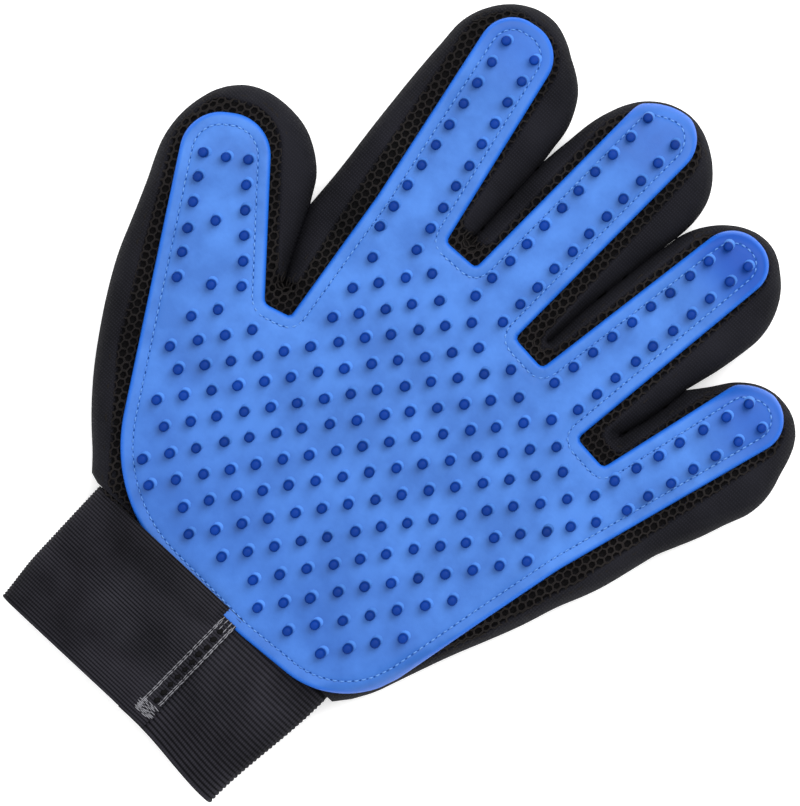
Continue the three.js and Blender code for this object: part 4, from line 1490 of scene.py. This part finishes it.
# %% [markdown]
# ## What counts as cloth
#
# The knit, the mesh lining, the elastics and the strap are cloth. For each part of the knit and the lining we
# work out the size of its flat cut, in the plane of the finger that it belongs to; the result is not used
# further. The pad is moulded rubber and the binding is a narrow tape.

# %% Flat cuts


def surface_area(mesh):
    return float(read(mesh.polygons, "area").sum())


def flat_cut(piece, part):
    """Width and length of the flat rectangle that a part is cut from, along its own finger."""
    points = read(piece.data.vertices, "co", 3)[:, :2] / MM
    if part != "palm":
        points = np.column_stack(finger_uv(points, FINGERS[part.rsplit("_", 1)[0]])[::-1])
    return (points.max(0) - points.min(0)) * MM


def declare_cloth(piece, part, layers=1):
    """Work out the flat cut of one sheet; the result is not used. A sheet that wraps round lies in two
    layers, so its flat cut is twice as wide.
    """
    width, length = flat_cut(piece, part)
    area = surface_area(piece.data)
    width = max(width * layers, area / length * 1.02)


for part, piece in knit_parts.items():
    declare_cloth(piece, part, layers=2)
for part, piece in lining_parts.items():
    declare_cloth(piece, part)


# %% [markdown]
# ## Floor, light and camera
#
# The glove is seen from straight above, turned so that the fingertips point to the upper right. A large
# soft light on the fingertip side lights the foot of every nub and gives the nub a short, soft shadow on
# its other side. Two weaker lamps and a pale floor fill the rest.

# %% Stage
bpy.ops.mesh.primitive_plane_add(size=6, location=(0, 0, -0.0002))
floor = bpy.context.object
floor.name = "floor"
floor_material = bpy.data.materials.new("pale_floor")
floor_material.use_nodes = True
floor_shader = floor_material.node_tree.nodes["Principled BSDF"]
floor_shader.inputs["Base Color"].default_value = (0.92, 0.92, 0.92, 1)
floor_shader.inputs["Roughness"].default_value = 0.9
floor_shader.inputs["Emission Color"].default_value = (1, 1, 1, 1)
floor_shader.inputs["Emission Strength"].default_value = 0.35
floor.data.materials.append(floor_material)

bpy.context.scene.view_settings.view_transform = "Standard"
VIEW_TURN = math.radians(43)
LOOK_AT = Vector((0.0033, 0.0021, 0))
CAMERA_HEIGHT = 4.0
FRAME_WIDTH = 0.224
camera_data = bpy.data.cameras.new("camera")
camera = bpy.data.objects.new("camera", camera_data)
bpy.context.scene.collection.objects.link(camera)
camera.location = LOOK_AT + Vector((0, 0, CAMERA_HEIGHT))
camera.rotation_euler = (0, 0, VIEW_TURN)
camera_data.sensor_fit = "HORIZONTAL"
camera_data.sensor_width = 36
camera_data.lens = 36 * (CAMERA_HEIGHT - 0.018) / FRAME_WIDTH
bpy.context.scene.camera = camera


def area_light(name, place, power, size):
    """A square lamp that looks at the glove; place is right, up and towards the camera, in metres."""
    turn = Matrix.Rotation(VIEW_TURN, 3, "Z")
    light_data = bpy.data.lights.new(name, "AREA")
    light_data.energy = power
    light_data.size = size
    light = bpy.data.objects.new(name, light_data)
    bpy.context.scene.collection.objects.link(light)
    light.location = LOOK_AT + turn @ Vector(place)
    light.rotation_euler = (LOOK_AT - light.location).to_track_quat("-Z", "Y").to_euler()


area_light("key", (0.7, 0.8, 1.3), 29, 1.3)
area_light("overhead", (-0.2, 0.1, 1.7), 12, 1.4)
area_light("fill", (-1.1, -0.8, 0.9), 5, 1.2)
world = bpy.data.worlds.new("studio")
world.use_nodes = True
world.node_tree.nodes["Background"].inputs["Color"].default_value = (1, 1, 1, 1)
world.node_tree.nodes["Background"].inputs["Strength"].default_value = 0.7
bpy.context.scene.world = world

# %% [markdown]
# The last step only imports json.

# %% Finish
import json
